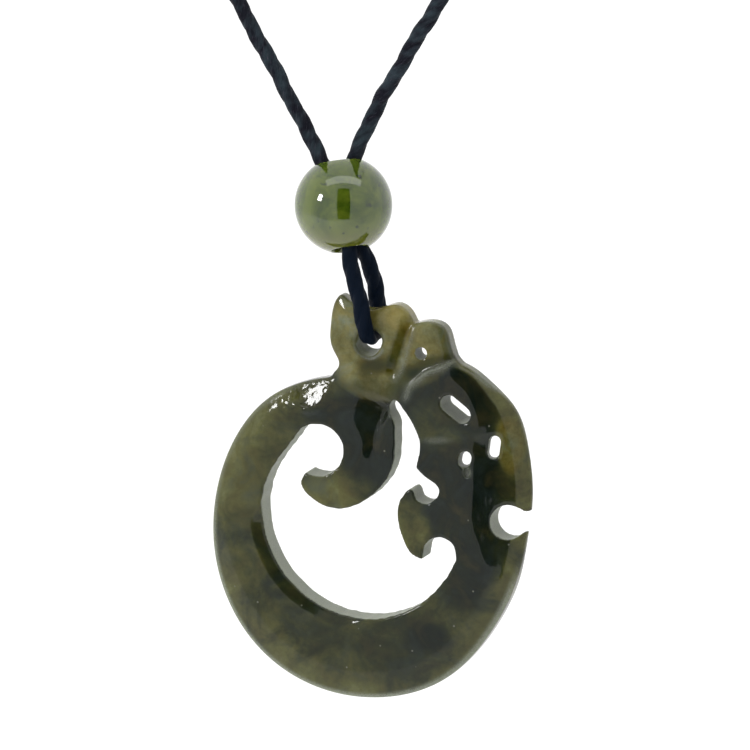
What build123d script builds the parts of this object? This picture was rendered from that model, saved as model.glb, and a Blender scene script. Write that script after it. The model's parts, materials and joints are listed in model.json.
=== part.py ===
from build123d import *
from math import cos, pi, radians, sin, sqrt, tan
import os

os.makedirs("parts", exist_ok=True)

# A flat carved pendant hangs under a round bead on a doubled cord, as it hangs round a neck.
# +X is to the viewer's right, -Y faces the viewer, +Z is up, and lengths are in millimetres.
# The origin is the point at the back of the neck where the knot rests.

# Cord and knot
cord_diameter = 1.5
fit_gap = 0.1
knot_diameter = 4.2
knot_length = 7.0
knot_rounding = 0.8

# Bead: a ball drilled for the two strands, along an axis that leans to the left and tips back
bead_diameter = 10.0
strands_clearance = 0.6
bead_mouth_diameter = 5.5
bead_mouth_depth = 2.2
bead_lean = 13.0
bead_tip = 17.0
bead_place = (0.57, -120.0, -132.1)

# Pendant: its plane, and the bore that hangs on the cord
bore_place = (3.7, -120.0, -146.0)
bore_clearance = 1.0
bore_rounding = 0.6
crest_thickness = 2.6
crest_height = 4.75
crest_bevel = 0.35

# Pendant: the carved ring with its head
ring_thickness = 3.4
ring_edge_thickness = 1.7
ring_bevel = 1.9
ring_radius = 16.6
bore_rise = 3.7
ring_shift = -0.5
crest_root = 3.6

# Pendant: the opening, with the curled hook and the beaked face in its outline
opening_radius = 10.5
opening_shift = -1.0
opening_drop = 18.4
curl_radius = 2.7
lower_wall = 8.1

# Pendant: holes cut through the head and crest
lobe_hole_diameter = 1.25
notch_diameter = 3.55
notch_depth = 1.9
notch_mouth = 2.1
notch_angle = 9.2
brow_slot_length = 3.1
brow_slot_width = 1.35
brow_slot_turn = -38.0
eye_slot_length = 2.4
eye_slot_width = 1.15
eye_slot_turn = 82.0
cheek_slot_length = 1.5
cheek_slot_width = 0.85
cheek_slot_turn = 80.0

cord_radius = cord_diameter / 2
knot_bore_radius = cord_radius + fit_gap
bead_bore_diameter = 2 * cord_diameter + strands_clearance
bore_diameter = cord_diameter + bore_clearance
ring_place = (ring_shift, -(ring_radius + bore_rise))
opening_place = (opening_shift, -opening_drop)

# The plane of the carving: its own x and y run to the right and up, its normal faces the viewer.
carving = Plane(origin=bore_place, x_dir=(1, 0, 0), z_dir=(0, -1, 0))

# Outline of the ring and head, seen from the ring's centre: direction in degrees from the right,
# and reach as a share of ring_radius. The head swells out at the upper right.
RING_OUTLINE = (
    (3, 1.02),
    (15, 1.08),
    (30, 1.17),
    (41, 1.245),
    (52, 1.27),
    (61, 1.28),
    (68, 1.20),
    (76, 1.07),
    (84, 1.00),
    (98, 1.00),
    (112, 1.017),
    (125, 1.022),
    (145, 0.99),
    (165, 0.975),
    (190, 0.985),
    (225, 1.007),
    (270, 1.007),
    (300, 1.00),
    (330, 0.975),
    (348, 0.996),
)

# Outline of the crest, left to right: across and up from the bore, as shares of crest_height.
NECK_CURVE = (
    (-0.80, -0.72), (-0.69, -0.54), (-0.81, -0.25), (-0.91, 0.33), (-0.83, 0.76), (-0.68, 1.00),
)
MIDDLE_LOBE = (
    (-0.68, 1.00), (-0.58, 0.93), (-0.07, 0.70), (0.26, 0.76), (0.60, 0.85), (0.81, 0.75), (0.99, 0.46),
)
RIGHT_LOBE = (
    (0.99, 0.46), (1.38, 0.51), (1.65, 0.41), (1.81, 0.02), (1.95, -0.33),
)
LOBE_HOLE_PLACE = (1.17, -0.165)

# Outline of the opening: across and up from its centre, as shares of opening_radius.
# The slit and face run down from the slit's top to the bite under the brow, round the beak,
# and on to the jaw, its scoop and the chin.
FACE_LINE = (
    (0.41, 1.19), (0.50, 1.07), (0.575, 0.92), (0.62, 0.76), (0.60, 0.62), (0.58, 0.545),
)
BITE_LINE = (
    (0.58, 0.545), (0.66, 0.47), (0.755, 0.42), (0.82, 0.33), (0.78, 0.25), (0.66, 0.184), (0.585, 0.22),
)
BEAK_LINE = (
    (0.585, 0.22), (0.53, 0.32), (0.465, 0.275), (0.40, 0.02), (0.45, -0.16), (0.535, -0.30), (0.65, -0.355),
)
JAW_LINE = (
    (0.65, -0.355), (0.69, -0.20), (0.77, -0.14), (0.90, -0.145), (0.98, -0.22), (0.996, -0.34),
)
CHIN_LINE = (
    (0.996, -0.34), (0.94, -0.48), (0.84, -0.63),
)
# The left of the opening climbs into the curl, and the hook's back runs round to the slit.
CHEEK_LINE = (
    (-0.995, 0.10), (-0.94, 0.34), (-0.83, 0.54), (-0.66, 0.76),
)
CURL_PLACE = (-0.41, 0.667)
HOOK_LINE = (
    (-0.54, 0.43), (-0.585, 0.34), (-0.50, 0.22), (-0.18, 0.10), (0.16, 0.26), (0.35, 0.55), (0.375, 0.80),
)
SLIT_LINE = (
    (0.375, 0.80), (0.33, 1.02), (0.29, 1.16), (0.35, 1.225), (0.41, 1.19),
)

# Places on the head, seen from the ring's centre: across and up, as shares of ring_radius.
BROW_SLOT_PLACE = (0.60, 0.84)
EYE_SLOT_PLACE = (0.85, 0.62)
CHEEK_SLOT_PLACE = (0.66, 0.54)
# Reach of the head's edge at the notch.
NOTCH_EDGE_REACH = 1.05

# The cord's line from the left of the V down through the bead, round through the pendant's bore
# and back up to the right of the V. Each row is a place across, in depth and in height.
bore_turns = [(3.7, -122.15, -145.6), (3.7, -117.85, -145.6)]
shown_route = [
    (-8.2, -120.0, -116.0),
    (-3.88, -118.23, -124.88),
    (-0.89, -119.46, -129.92),
    (-0.3, -120.34, -131.24),
    (0.73, -121.23, -133.1),
    (1.61, -121.85, -135.14),
    (2.15, -122.2, -138.6),
    (3.2, -122.15, -141.9),
    *bore_turns,
    (3.5, -117.85, -141.8),
    (3.35, -119.25, -138.7),
    (2.13, -120.23, -135.6),
    (1.12, -119.51, -133.5),
    (0.97, -119.14, -131.27),
    (0.65, -119.07, -129.48),
    (2.19, -118.28, -124.67),
    (7.45, -120.0, -115.8),
]
# The hidden way round the right of the neck, from above the V to the knot. The left mirrors it.
neck_side = [
    (18.6, -120.0, -98.0),
    (31.0, -115.5, -79.5),
    (43.0, -105.0, -61.0),
    (52.5, -87.0, -43.0),
    (57.5, -59.0, -22.5),
    (50.5, -29.5, -8.5),
    (30.0, -6.5, -1.5),
    (11.5, 2.1, 0.0),
]
# The two stretches of cord meet this share of the way along the last straight run of the V.
meeting_share = 0.62
# An arc of the cord takes this share of the shorter of its two runs.
arc_share = 0.45


def mirrored(points):
    """The same places on the other side of the neck, in the opposite order."""
    return [(-x, y, z) for x, y, z in reversed(points)]


def between(start, end, share):
    """The place that lies a share of the way from start to end."""
    return tuple(a + share * (b - a) for a, b in zip(start, end))


def arc_radii(points, fixed):
    """Each corner's arc radius: as large as its two runs allow, or the one fixed for it."""
    places = [Vector(*p) for p in points]
    radii = []
    for i, (before, corner, after) in enumerate(zip(places, places[1:], places[2:]), 1):
        run_in = corner - before
        run_out = after - corner
        shorter = min(run_in.length, run_out.length)
        turn = radians(run_in.get_angle(run_out))
        radii.append(fixed.get(i, arc_share * shorter / tan(turn / 2)))
    return radii


def cord_tube(name, points, fixed):
    """Sweeps the cord's round section along straight runs joined by tangent arcs."""
    radii = arc_radii(points, fixed)
    with BuildPart() as tube:
        with BuildLine() as line:
            FilletPolyline(*points, radius=radii)
        path = line.wire()
        with BuildSketch(Plane(origin=path @ 0, z_dir=path % 0)):
            Circle(cord_radius)
        sweep()
    expected = pi * cord_radius**2 * path.length
    print(name, "length", round(path.length, 1), "volume share", round(tube.part.volume / expected, 4))
    print(name, "arc radii", [round(r, 1) for r in radii])
    return tube.part


def placed(rows, size, place):
    """Rows of shares as places on the carving's plane: shares of a size, from a centre."""
    return [(place[0] + across * size, place[1] + up * size) for across, up in rows]


# Cord: the shown stretch and the hidden one meet face to face, end to end
right_meeting = between(shown_route[-1], neck_side[0], meeting_share)
left_meeting = between(shown_route[0], mirrored(neck_side)[-1], meeting_share)
# The cord turns round the bore's rounded edge, at its two corners in the bore.
rim_radius = bore_rounding + fit_gap + cord_radius
whole_route = [left_meeting] + shown_route + [right_meeting]
bore_corners = {whole_route.index(turn): rim_radius for turn in bore_turns}
cord = cord_tube("cord", whole_route, bore_corners)
cord.label = "cord"
export_step(cord, "parts/cord.step")

neck_cord = cord_tube("neck_cord", [right_meeting] + neck_side + mirrored(neck_side) + [left_meeting], {})
neck_cord.label = "neck_cord"
export_step(neck_cord, "parts/neck_cord.step")

# Knot: one plain barrel round the cord, which rests against the back of the neck
knot_plane = Plane(origin=(0, knot_diameter / 2, 0), x_dir=(0, 1, 0), z_dir=(1, 0, 0))
with BuildPart() as knot:
    with BuildSketch(knot_plane):
        Circle(knot_diameter / 2)
    extrude(amount=knot_length / 2, both=True)
    fillet(knot.edges().filter_by(GeomType.CIRCLE), radius=knot_rounding)
    with BuildSketch(knot_plane):
        Circle(knot_bore_radius)
    extrude(amount=knot_length, both=True, mode=Mode.SUBTRACT)
knot.part.label = "knot"
export_step(knot.part, "parts/knot.step")

# Bead: half of its section, turned about the sloping axis of its bore
bead_radius = bead_diameter / 2
bore_wall = bead_bore_diameter / 2
mouth_wall = bead_mouth_diameter / 2
mouth_height = sqrt(bead_radius**2 - mouth_wall**2)
throat_height = mouth_height - bead_mouth_depth
lean = radians(bead_lean)
tip = radians(bead_tip)
bore_line = Vector(-sin(lean), cos(lean) * sin(tip), cos(lean) * cos(tip))
section_facing = Vector(0, -cos(tip), sin(tip))
bead_section = Plane(origin=bead_place, x_dir=bore_line.cross(section_facing), z_dir=section_facing)
with BuildPart() as bead:
    with BuildSketch(bead_section):
        with BuildLine():
            Polyline((mouth_wall, -mouth_height), (bore_wall, -throat_height), (bore_wall, throat_height),
                     (mouth_wall, mouth_height))
            ThreePointArc((mouth_wall, mouth_height), (bead_radius, 0), (mouth_wall, -mouth_height))
        make_face()
    revolve(axis=Axis(bead_place, bore_line), revolution_arc=360)
bead.part.label = "bead"
export_step(bead.part, "parts/bead.step")


def ring_section(height, inset):
    """The outline of ring and head at a height above the middle plane, drawn in by an inset."""
    plane = carving.offset(height)
    with BuildSketch(plane) as section:
        with BuildLine():
            Spline(
                *[
                    (
                        ring_place[0] + (reach * ring_radius - inset) * cos(radians(angle)),
                        ring_place[1] + (reach * ring_radius - inset) * sin(radians(angle)),
                    )
                    for angle, reach in RING_OUTLINE
                ],
                periodic=True,
            )
        make_face()
    return section.sketch


# Crest: the thin plate of three lobes above the ring, with its root inside the ring
with BuildPart() as crest:
    with BuildSketch(carving):
        with BuildLine():
            neck = Spline(*placed(NECK_CURVE, crest_height, (0, 0)))
            Spline(*placed(MIDDLE_LOBE, crest_height, (0, 0)))
            lobe = Spline(*placed(RIGHT_LOBE, crest_height, (0, 0)))
            root = -bore_rise - crest_root
            Polyline(lobe @ 1, ((lobe @ 1).X, root), ((neck @ 0).X, root), neck @ 0)
        make_face()
    extrude(amount=crest_thickness / 2, both=True)
    curved = crest.edges().filter_by(GeomType.BSPLINE)
    chamfer(curved.group_by(Axis.Y)[0] + curved.group_by(Axis.Y)[-1], length=crest_bevel)

# Pendant: the bevelled ring and head with the crest on them, then everything that is cut through
with BuildPart() as pendant:
    loft(
        sections=[
            ring_section(-ring_thickness / 2, ring_bevel),
            ring_section(-ring_edge_thickness / 2, 0),
            ring_section(ring_edge_thickness / 2, 0),
            ring_section(ring_thickness / 2, ring_bevel),
        ],
        ruled=True,
    )
    add(crest.part)

    # The bore, turned about its axis with both of its edges rounded, and the hole in the right lobe
    with BuildSketch(Plane(origin=bore_place, x_dir=(1, 0, 0), z_dir=(0, 0, 1))):
        with BuildLine():
            rim = bore_diameter / 2 + bore_rounding
            face = crest_thickness / 2
            above = 2 * face
            Polyline((rim, face), (rim, above), (0, above), (0, -above), (rim, -above), (rim, -face))
            RadiusArc((rim, -face), (bore_diameter / 2, bore_rounding - face), bore_rounding)
            Line((bore_diameter / 2, bore_rounding - face), (bore_diameter / 2, face - bore_rounding))
            RadiusArc((bore_diameter / 2, face - bore_rounding), (rim, face), bore_rounding)
        make_face()
    revolve(axis=Axis(bore_place, (0, 1, 0)), revolution_arc=360, mode=Mode.SUBTRACT)
    with BuildSketch(carving):
        with Locations(*placed([LOBE_HOLE_PLACE], crest_height, (0, 0))):
            Circle(lobe_hole_diameter / 2)
    extrude(amount=crest_thickness, both=True, mode=Mode.SUBTRACT)

    # The opening, with the curl, hook, slit, face and jaw
    with BuildSketch(carving):
        with BuildLine():
            for rows in (FACE_LINE, BITE_LINE, BEAK_LINE, JAW_LINE):
                Spline(*placed(rows, opening_radius, opening_place))
            chin = Spline(*placed(CHIN_LINE, opening_radius, opening_place))
            cheek = Spline(*placed(CHEEK_LINE, opening_radius, opening_place))
            bottom = (opening_place[0], ring_place[1] - ring_radius + lower_wall)
            ThreePointArc(chin @ 1, bottom, cheek @ 0)
            hook = Spline(*placed(HOOK_LINE, opening_radius, opening_place))
            Spline(*placed(SLIT_LINE, opening_radius, opening_place))
            curl = placed([CURL_PLACE], opening_radius, opening_place)[0]
            ThreePointArc(cheek @ 1, (curl[0] + curl_radius, curl[1]), hook @ 0)
        make_face()
    extrude(amount=ring_thickness, both=True, mode=Mode.SUBTRACT)

    # The round notch, whose centre lies a little inside the head's edge, open to the right
    notch_reach = NOTCH_EDGE_REACH * ring_radius - notch_depth
    notch_place = (
        ring_place[0] + notch_reach * cos(radians(notch_angle)),
        ring_place[1] + notch_reach * sin(radians(notch_angle)),
    )
    with BuildSketch(carving):
        with Locations(notch_place):
            Circle(notch_diameter / 2)
            Rectangle(notch_diameter + notch_depth, notch_mouth, align=(Align.MIN, Align.CENTER))
    extrude(amount=ring_thickness, both=True, mode=Mode.SUBTRACT)

    # The three slots of the head
    with BuildSketch(carving):
        with Locations(*placed([BROW_SLOT_PLACE], ring_radius, ring_place)):
            SlotOverall(brow_slot_length, brow_slot_width, rotation=brow_slot_turn)
        with Locations(*placed([EYE_SLOT_PLACE], ring_radius, ring_place)):
            SlotOverall(eye_slot_length, eye_slot_width, rotation=eye_slot_turn)
        with Locations(*placed([CHEEK_SLOT_PLACE], ring_radius, ring_place)):
            SlotOverall(cheek_slot_length, cheek_slot_width, rotation=cheek_slot_turn)
    extrude(amount=ring_thickness, both=True, mode=Mode.SUBTRACT)
pendant.part.label = "pendant"
export_step(pendant.part, "parts/pendant.step")

mass_centre = pendant.part.center(CenterOf.MASS)
print("pendant volume", round(pendant.part.volume, 1), "mass centre", mass_centre - Vector(*bore_place))
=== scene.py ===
# %% [markdown]
# # A carved jade pendant on a waxed cord
# A flat, pierced jade carving hangs under a round jade bead, on a thin dark cord that goes round the neck.
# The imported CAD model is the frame: it says where each piece is and what it hangs from. This script gives
# each piece the surface and finish that the real one has. Sizes are in millimetres until a mesh is made.

# %% Frame and units
import json
from math import cos, pi, radians, sin, tan

import bpy
import numpy as np
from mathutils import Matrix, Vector


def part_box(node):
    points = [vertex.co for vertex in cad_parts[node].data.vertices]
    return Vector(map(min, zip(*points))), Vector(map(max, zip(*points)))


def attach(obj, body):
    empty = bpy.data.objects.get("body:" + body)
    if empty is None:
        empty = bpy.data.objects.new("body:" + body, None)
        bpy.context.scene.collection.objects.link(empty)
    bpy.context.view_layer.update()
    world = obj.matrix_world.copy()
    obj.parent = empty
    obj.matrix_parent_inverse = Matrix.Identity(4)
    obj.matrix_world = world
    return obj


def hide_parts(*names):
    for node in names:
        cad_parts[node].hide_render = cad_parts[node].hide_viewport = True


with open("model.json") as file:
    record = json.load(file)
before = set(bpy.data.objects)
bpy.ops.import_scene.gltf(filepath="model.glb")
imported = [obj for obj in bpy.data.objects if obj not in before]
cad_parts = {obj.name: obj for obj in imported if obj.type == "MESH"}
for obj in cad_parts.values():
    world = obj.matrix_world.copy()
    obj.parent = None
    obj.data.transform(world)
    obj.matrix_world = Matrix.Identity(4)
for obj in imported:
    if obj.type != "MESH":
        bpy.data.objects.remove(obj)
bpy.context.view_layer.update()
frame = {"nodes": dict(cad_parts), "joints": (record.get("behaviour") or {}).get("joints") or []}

MM = 0.001
swing = frame["joints"][0]
# The cord lies against the top of the pendant's bore, so the bore's own centre is a little lower.
cord_above_bore = 0.4
bore_place = np.array(swing["pos_m"]) / MM - (0, 0, cord_above_bore)
print("nodes", sorted(frame["nodes"]), "bore at", bore_place.round(2))

# %% [markdown]
# ## Camera
# The picture looks at the pendant from a little to the right and a little above. A long lens from far away
# keeps the ring's proportions, where a short one would swell its middle. The camera comes first, because
# what it sees decides how much of the cord has to be modelled with care.

# %% Camera
view_azimuth = radians(18.0)
view_elevation = radians(11.5)
camera_distance = 2000.0
picture_width = 76.6
sensor_width = 36.0
# Where the middle of the picture lies, across and up from the bore.
picture_middle = (0.25, -3.59)

toward_camera = np.array([
    sin(view_azimuth) * cos(view_elevation),
    -cos(view_azimuth) * cos(view_elevation),
    sin(view_elevation),
])
target = bore_place + (picture_middle[0], 0, picture_middle[1])
camera = bpy.data.objects.new("camera", bpy.data.cameras.new("camera"))
bpy.context.scene.collection.objects.link(camera)
camera.location = Vector((target + toward_camera * camera_distance) * MM)
camera.rotation_mode = "QUATERNION"
camera.rotation_quaternion = Vector(-toward_camera).to_track_quat("-Z", "Y")
camera.data.sensor_width = sensor_width
camera.data.lens = sensor_width * camera_distance / picture_width
camera.data.clip_start = 0.01
bpy.context.scene.camera = camera
print("lens", round(camera.data.lens, 1), "mm")

# %% [markdown]
# ## Meshes from arrays
# Most pieces here are grids: rows of points carried round or along something. They could be pulled into
# shape by hand, but as arrays each form keeps its formula and can be changed by one number. One helper joins
# the neighbours of a grid into quads, and one puts points and faces into a mesh that sits at the origin.

# %% Grid helpers
def grid_faces(rows, columns, close_rows=False, close_columns=False):
    """Quads between neighbouring points of a grid. A closed direction joins its last line to its first."""
    row, column = np.meshgrid(
        np.arange(rows if close_rows else rows - 1),
        np.arange(columns if close_columns else columns - 1),
        indexing="ij",
    )
    next_row, next_column = (row + 1) % rows, (column + 1) % columns
    corners = [(row, column), (row, next_column), (next_row, next_column), (next_row, column)]
    return np.stack([r * columns + c for r, c in corners], axis=-1).reshape(-1, 4)


def piece_of(name, places, faces):
    """A smooth mesh object from places in millimetres and a list of faces."""
    mesh = bpy.data.meshes.new(name)
    mesh.from_pydata((np.asarray(places) * MM).tolist(), [], faces)
    mesh.shade_smooth()
    mesh.validate()
    made = bpy.data.objects.new(name, mesh)
    bpy.context.scene.collection.objects.link(made)
    triangles = sum(len(f) - 2 for f in faces)
    print(name, "has", triangles, "triangles")
    return made


def unit(vectors):
    """The same directions with length one."""
    return vectors / np.linalg.norm(vectors, axis=-1, keepdims=True)


def add_values(made, name, values):
    """Stores one number or vector per vertex, which a material can read by name."""
    kind = "FLOAT_VECTOR" if values.ndim == 2 else "FLOAT"
    attribute = made.data.attributes.new(name, kind, "POINT")
    field = "vector" if values.ndim == 2 else "value"
    attribute.data.foreach_set(field, values.astype(np.float32).ravel())

# %% [markdown]
# ## The cord's line
# The real necklace is one waxed cord: it comes down into the bead, turns through the pendant's bore and goes
# back up. It could be a curve with a round bevel, but the laid plies need a surface of their own, so only
# the line is a curve here: a NURBS curve whose control points are the places of the CAD route. The hidden
# stretch round the neck is a second line, and both are read back as dense points that the tube follows.

# %% Cord routes
cord_diameter = 1.5
shown_route = [
    (-8.2, -120.0, -116.0),
    (-3.88, -118.23, -124.88),
    (-0.89, -119.46, -129.92),
    (-0.3, -120.34, -131.24),
    (0.73, -121.23, -133.1),
    (1.61, -121.85, -135.14),
    (2.15, -122.2, -138.6),
    (3.2, -122.15, -141.9),
    (3.7, -122.3, -145.6),
    (3.7, -117.7, -145.6),
    (3.5, -117.85, -141.8),
    (3.35, -119.25, -138.7),
    (2.13, -120.23, -135.6),
    (1.12, -119.51, -133.5),
    (0.97, -119.14, -131.27),
    (0.65, -119.07, -129.48),
    (2.19, -118.28, -124.67),
    (7.45, -120.0, -115.8),
]
neck_side = [
    (18.6, -120.0, -98.0),
    (31.0, -115.5, -79.5),
    (43.0, -105.0, -61.0),
    (52.5, -87.0, -43.0),
    (57.5, -59.0, -22.5),
    (50.5, -29.5, -8.5),
    (30.0, -6.5, -1.5),
    (11.5, 2.1, 0.0),
]
# The two stretches meet this share of the way along the straight run above each side of the V.
meeting_share = 0.62


def meeting(start, end):
    """The place that lies the meeting's share of the way from start to end."""
    return tuple(np.array(start) * (1 - meeting_share) + np.array(end) * meeting_share)


other_side = [(-x, y, z) for x, y, z in reversed(neck_side)]
right_meeting = meeting(shown_route[-1], neck_side[0])
left_meeting = meeting(shown_route[0], other_side[-1])
shown_points = [left_meeting] + shown_route + [right_meeting]
hidden_points = [right_meeting] + neck_side + other_side + [left_meeting]
print("route points:", len(shown_points), "shown and", len(hidden_points), "hidden")


# %% From a route to dense points
def smooth_line(name, points, spacing):
    """Evenly spaced points of the NURBS curve whose control points are the route's points."""
    curve = bpy.data.curves.new(name, "CURVE")
    curve.dimensions = "3D"
    spline = curve.splines.new("NURBS")
    spline.points.add(len(points) - 1)
    spline.points.foreach_set("co", np.hstack([np.array(points) * MM, np.ones((len(points), 1))]).ravel())
    spline.order_u = 3
    spline.use_endpoint_u = True
    spline.resolution_u = 40
    holder = bpy.data.objects.new(name, curve)
    bpy.context.scene.collection.objects.link(holder)
    mesh = bpy.data.meshes.new_from_object(holder)
    read = np.empty(len(mesh.vertices) * 3)
    mesh.vertices.foreach_get("co", read)
    read = read.reshape(-1, 3) / MM
    bpy.data.objects.remove(holder)
    bpy.data.curves.remove(curve)
    bpy.data.meshes.remove(mesh)
    along = np.concatenate([[0], np.cumsum(np.linalg.norm(np.diff(read, axis=0), axis=1))])
    even = np.linspace(0, along[-1], int(along[-1] / spacing) + 1)
    line = np.stack([np.interp(even, along, read[:, i]) for i in range(3)], axis=1)
    print(name, "is", round(along[-1], 1), "mm long,", len(line), "points")
    return line, even


shown_line, shown_along = smooth_line("shown_line", shown_points, 0.2)
hidden_line, hidden_along = smooth_line("hidden_line", hidden_points, 0.3)

# %% [markdown]
# ## Frames along a closed loop
# A twisted cord needs a side direction at every point of its line. Taken from the line's own bends it would
# flip where the line is straight, so the first side is carried along with as little turning as possible: the
# small turn from each tangent to the next is a matrix, and the matrices are multiplied up by doubling, so
# no loop goes through the points. The whole necklace is done as one loop, and the twist is rounded so that
# the laid plies meet themselves at the end.

# %% Carried frames
def carried_sides(tangents):
    """Side directions that turn as little as they can from one tangent to the next.

    A step's turn is 1 + K + K K / (1 + cosine), where K is the matrix of the cross product with its axis.
    """
    before, after = tangents[:-1], tangents[1:]
    axis = np.cross(before, after)
    cosine = (before * after).sum(axis=1)
    zero = np.zeros(len(axis))
    cross = np.stack([
        zero, -axis[:, 2], axis[:, 1],
        axis[:, 2], zero, -axis[:, 0],
        -axis[:, 1], axis[:, 0], zero,
    ], axis=1).reshape(-1, 3, 3)
    turns = np.eye(3) + cross + cross @ cross / (1 + cosine)[:, None, None]
    step = 1
    while step < len(turns):
        turns[step:] = turns[step:] @ turns[:-step]
        step *= 2
    first = unit(np.cross(tangents[0], (0, 1, 0)))
    return np.vstack([first, turns @ first])


# One full turn of the three plies takes this length of cord.
lay_length = 8.4
strand_count = 3

loop = np.vstack([shown_line, hidden_line[1:]])
loop_along = np.concatenate([shown_along, shown_along[-1] + hidden_along[1:]])
tangents = unit(np.gradient(loop, loop_along, axis=0))
tangents[0] = tangents[-1] = unit(tangents[0] + tangents[-1])
sides = carried_sides(tangents)
ups = np.cross(tangents, sides)
carried_turn = np.arctan2(sides[-1] @ ups[0], sides[-1] @ sides[0])
strand_turns = round(strand_count * loop_along[-1] / lay_length)
total_twist = 2 * pi * strand_turns / strand_count - carried_turn
twist = total_twist * loop_along / loop_along[-1]
print("whole loop", round(loop_along[-1], 1), "mm,", strand_turns / strand_count, "turns of twist")

# %% [markdown]
# ## The waxed cord
# Up close the cord is three thin plies laid together and pressed nearly round by wax. Three separate tubes
# would cut into each other at the bends, so its surface is one profile carried along the line: a circle with
# three shallow rounded grooves that turn with the twist, and small lumps where the wax is thicker. The
# attribute called yarn holds each point's place on the cord as if it were straight and untwisted, so fibres
# drawn in the material follow the plies.

# %% Surface of the cord
cord_radius = cord_diameter / 2
groove_share = 0.2
# The plies stand a little proud of the cord's mean size, as their grooves lie below it.
ply_radius = cord_radius + 0.05
ply_roundness = 0.7
# Between the bead and the bore the two strands are pressed side by side, and each is a little flatter.
pressed_from, pressed_to, pressed_share = -137.0, -144.5, 0.12
# Above the bead the cord hangs free and sways a little.
free_from, free_to, sway_reach = -126.0, -122.0, 0.06


def ramp(value, low, high):
    """Goes smoothly from 0 at low to 1 at high."""
    share = np.clip((value - low) / (high - low), 0, 1)
    return share * share * (3 - 2 * share)


def wax_lumps(angle, own, along):
    """Three waves that run round and along the cord, as shares of its radius."""
    middle_wave = 0.020 * np.sin(2.1 * along + 2 * own)
    long_wave = 0.015 * np.sin(0.83 * along - own)
    short_wave = 0.010 * np.sin(5.3 * along + 3 * angle)
    return middle_wave + long_wave + short_wave


def cord_surface(part, around):
    """Places on the cord for a slice of the loop: line + radius(angle, length) * direction(angle).

    The radius is full on a ply and falls in the grooves, as a power of |cos(1.5 * angle)| after the twist.
    """
    angle = np.linspace(0, 2 * pi, around, endpoint=False)[None, :]
    along = loop_along[part][:, None]
    level = loop[part][:, 2][:, None, None]
    side, up = sides[part][:, None], ups[part][:, None]
    own = angle - twist[part][:, None]
    ply = np.abs(np.cos(strand_count / 2 * own)) ** ply_roundness
    radius = ply_radius * (1 - groove_share * (1 - ply)) + cord_radius * wax_lumps(angle, own, along)
    direction = np.cos(angle)[..., None] * side + np.sin(angle)[..., None] * up
    sway = sway_reach * (np.sin(0.9 * along)[..., None] * side + np.sin(0.71 * along + 1)[..., None] * up)
    free = ramp(level, free_from, free_to)
    pressed = ramp(level, pressed_from + 1, pressed_from - 1) * ramp(level, pressed_to - 1, pressed_to + 1)
    wider = 1 + pressed_share * pressed
    spread = np.concatenate([wider, np.ones_like(wider), np.ones_like(wider)], axis=2)
    places = loop[part][:, None] + sway * free + radius[..., None] * direction * spread
    yarn = np.stack([
        np.broadcast_to(np.cos(own), radius.shape),
        np.broadcast_to(np.sin(own), radius.shape),
        np.broadcast_to(along, radius.shape),
    ], axis=-1)
    return places, yarn


# %% Tube along the loop
# Painted shade on the stretch below the bead: from the first height down to the second, more and more.
shade_from, shade_to = -133.0, -137.0


def closed_tube(name, part, around):
    """A cord piece: the surface's grid, with a fan of triangles that closes each end."""
    places, yarn = cord_surface(part, around)
    rows = len(places)
    quads = grid_faces(rows, around, close_columns=True)[:, ::-1].tolist()
    ring = np.arange(around)
    first, last = rows * around, rows * around + 1
    start_fan = np.stack([np.full(around, first), np.roll(ring, -1), ring], axis=1)[:, ::-1].tolist()
    far = ring + (rows - 1) * around
    end_fan = np.stack([np.full(around, last), far, np.roll(far, -1)], axis=1)[:, ::-1].tolist()
    ends = loop[part][[0, -1]]
    made = piece_of(name, np.vstack([places.reshape(-1, 3), ends]), quads + start_fan + end_fan)
    add_values(made, "yarn", np.vstack([yarn.reshape(-1, 3), yarn[[0, -1], 0]]))
    level = np.concatenate([np.repeat(loop[part][:, 2], around), ends[:, 2]])
    add_values(made, "painted_shade_below_bead", ramp(level, shade_from, shade_to))
    return made


shown_part = slice(0, len(shown_line))
hidden_part = slice(len(shown_line) - 1, len(loop))
cord_piece = closed_tube("waxed_cord", shown_part, 36)
neck_piece = closed_tube("waxed_neck_cord", hidden_part, 24)

# %% [markdown]
# ## The closing knot
# At the nape the two ends are wound round the cord in a short barrel. It could be one long tube wound as a
# helix, but its inside is never seen, so it is a barrel whose radius swells over each turn of the helix,
# with rounded ends and a hole for the cord.

# %% Wound barrel
knot_low, knot_high = [np.array(corner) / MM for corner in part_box("knot")]
knot_middle = (knot_low + knot_high) / 2
knot_radius = (knot_high - knot_low)[2] / 2
knot_half = (knot_high - knot_low)[0] / 2
knot_hole = cord_radius + 0.06
wind_pitch = 1.4
wind_depth = 0.2


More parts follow.
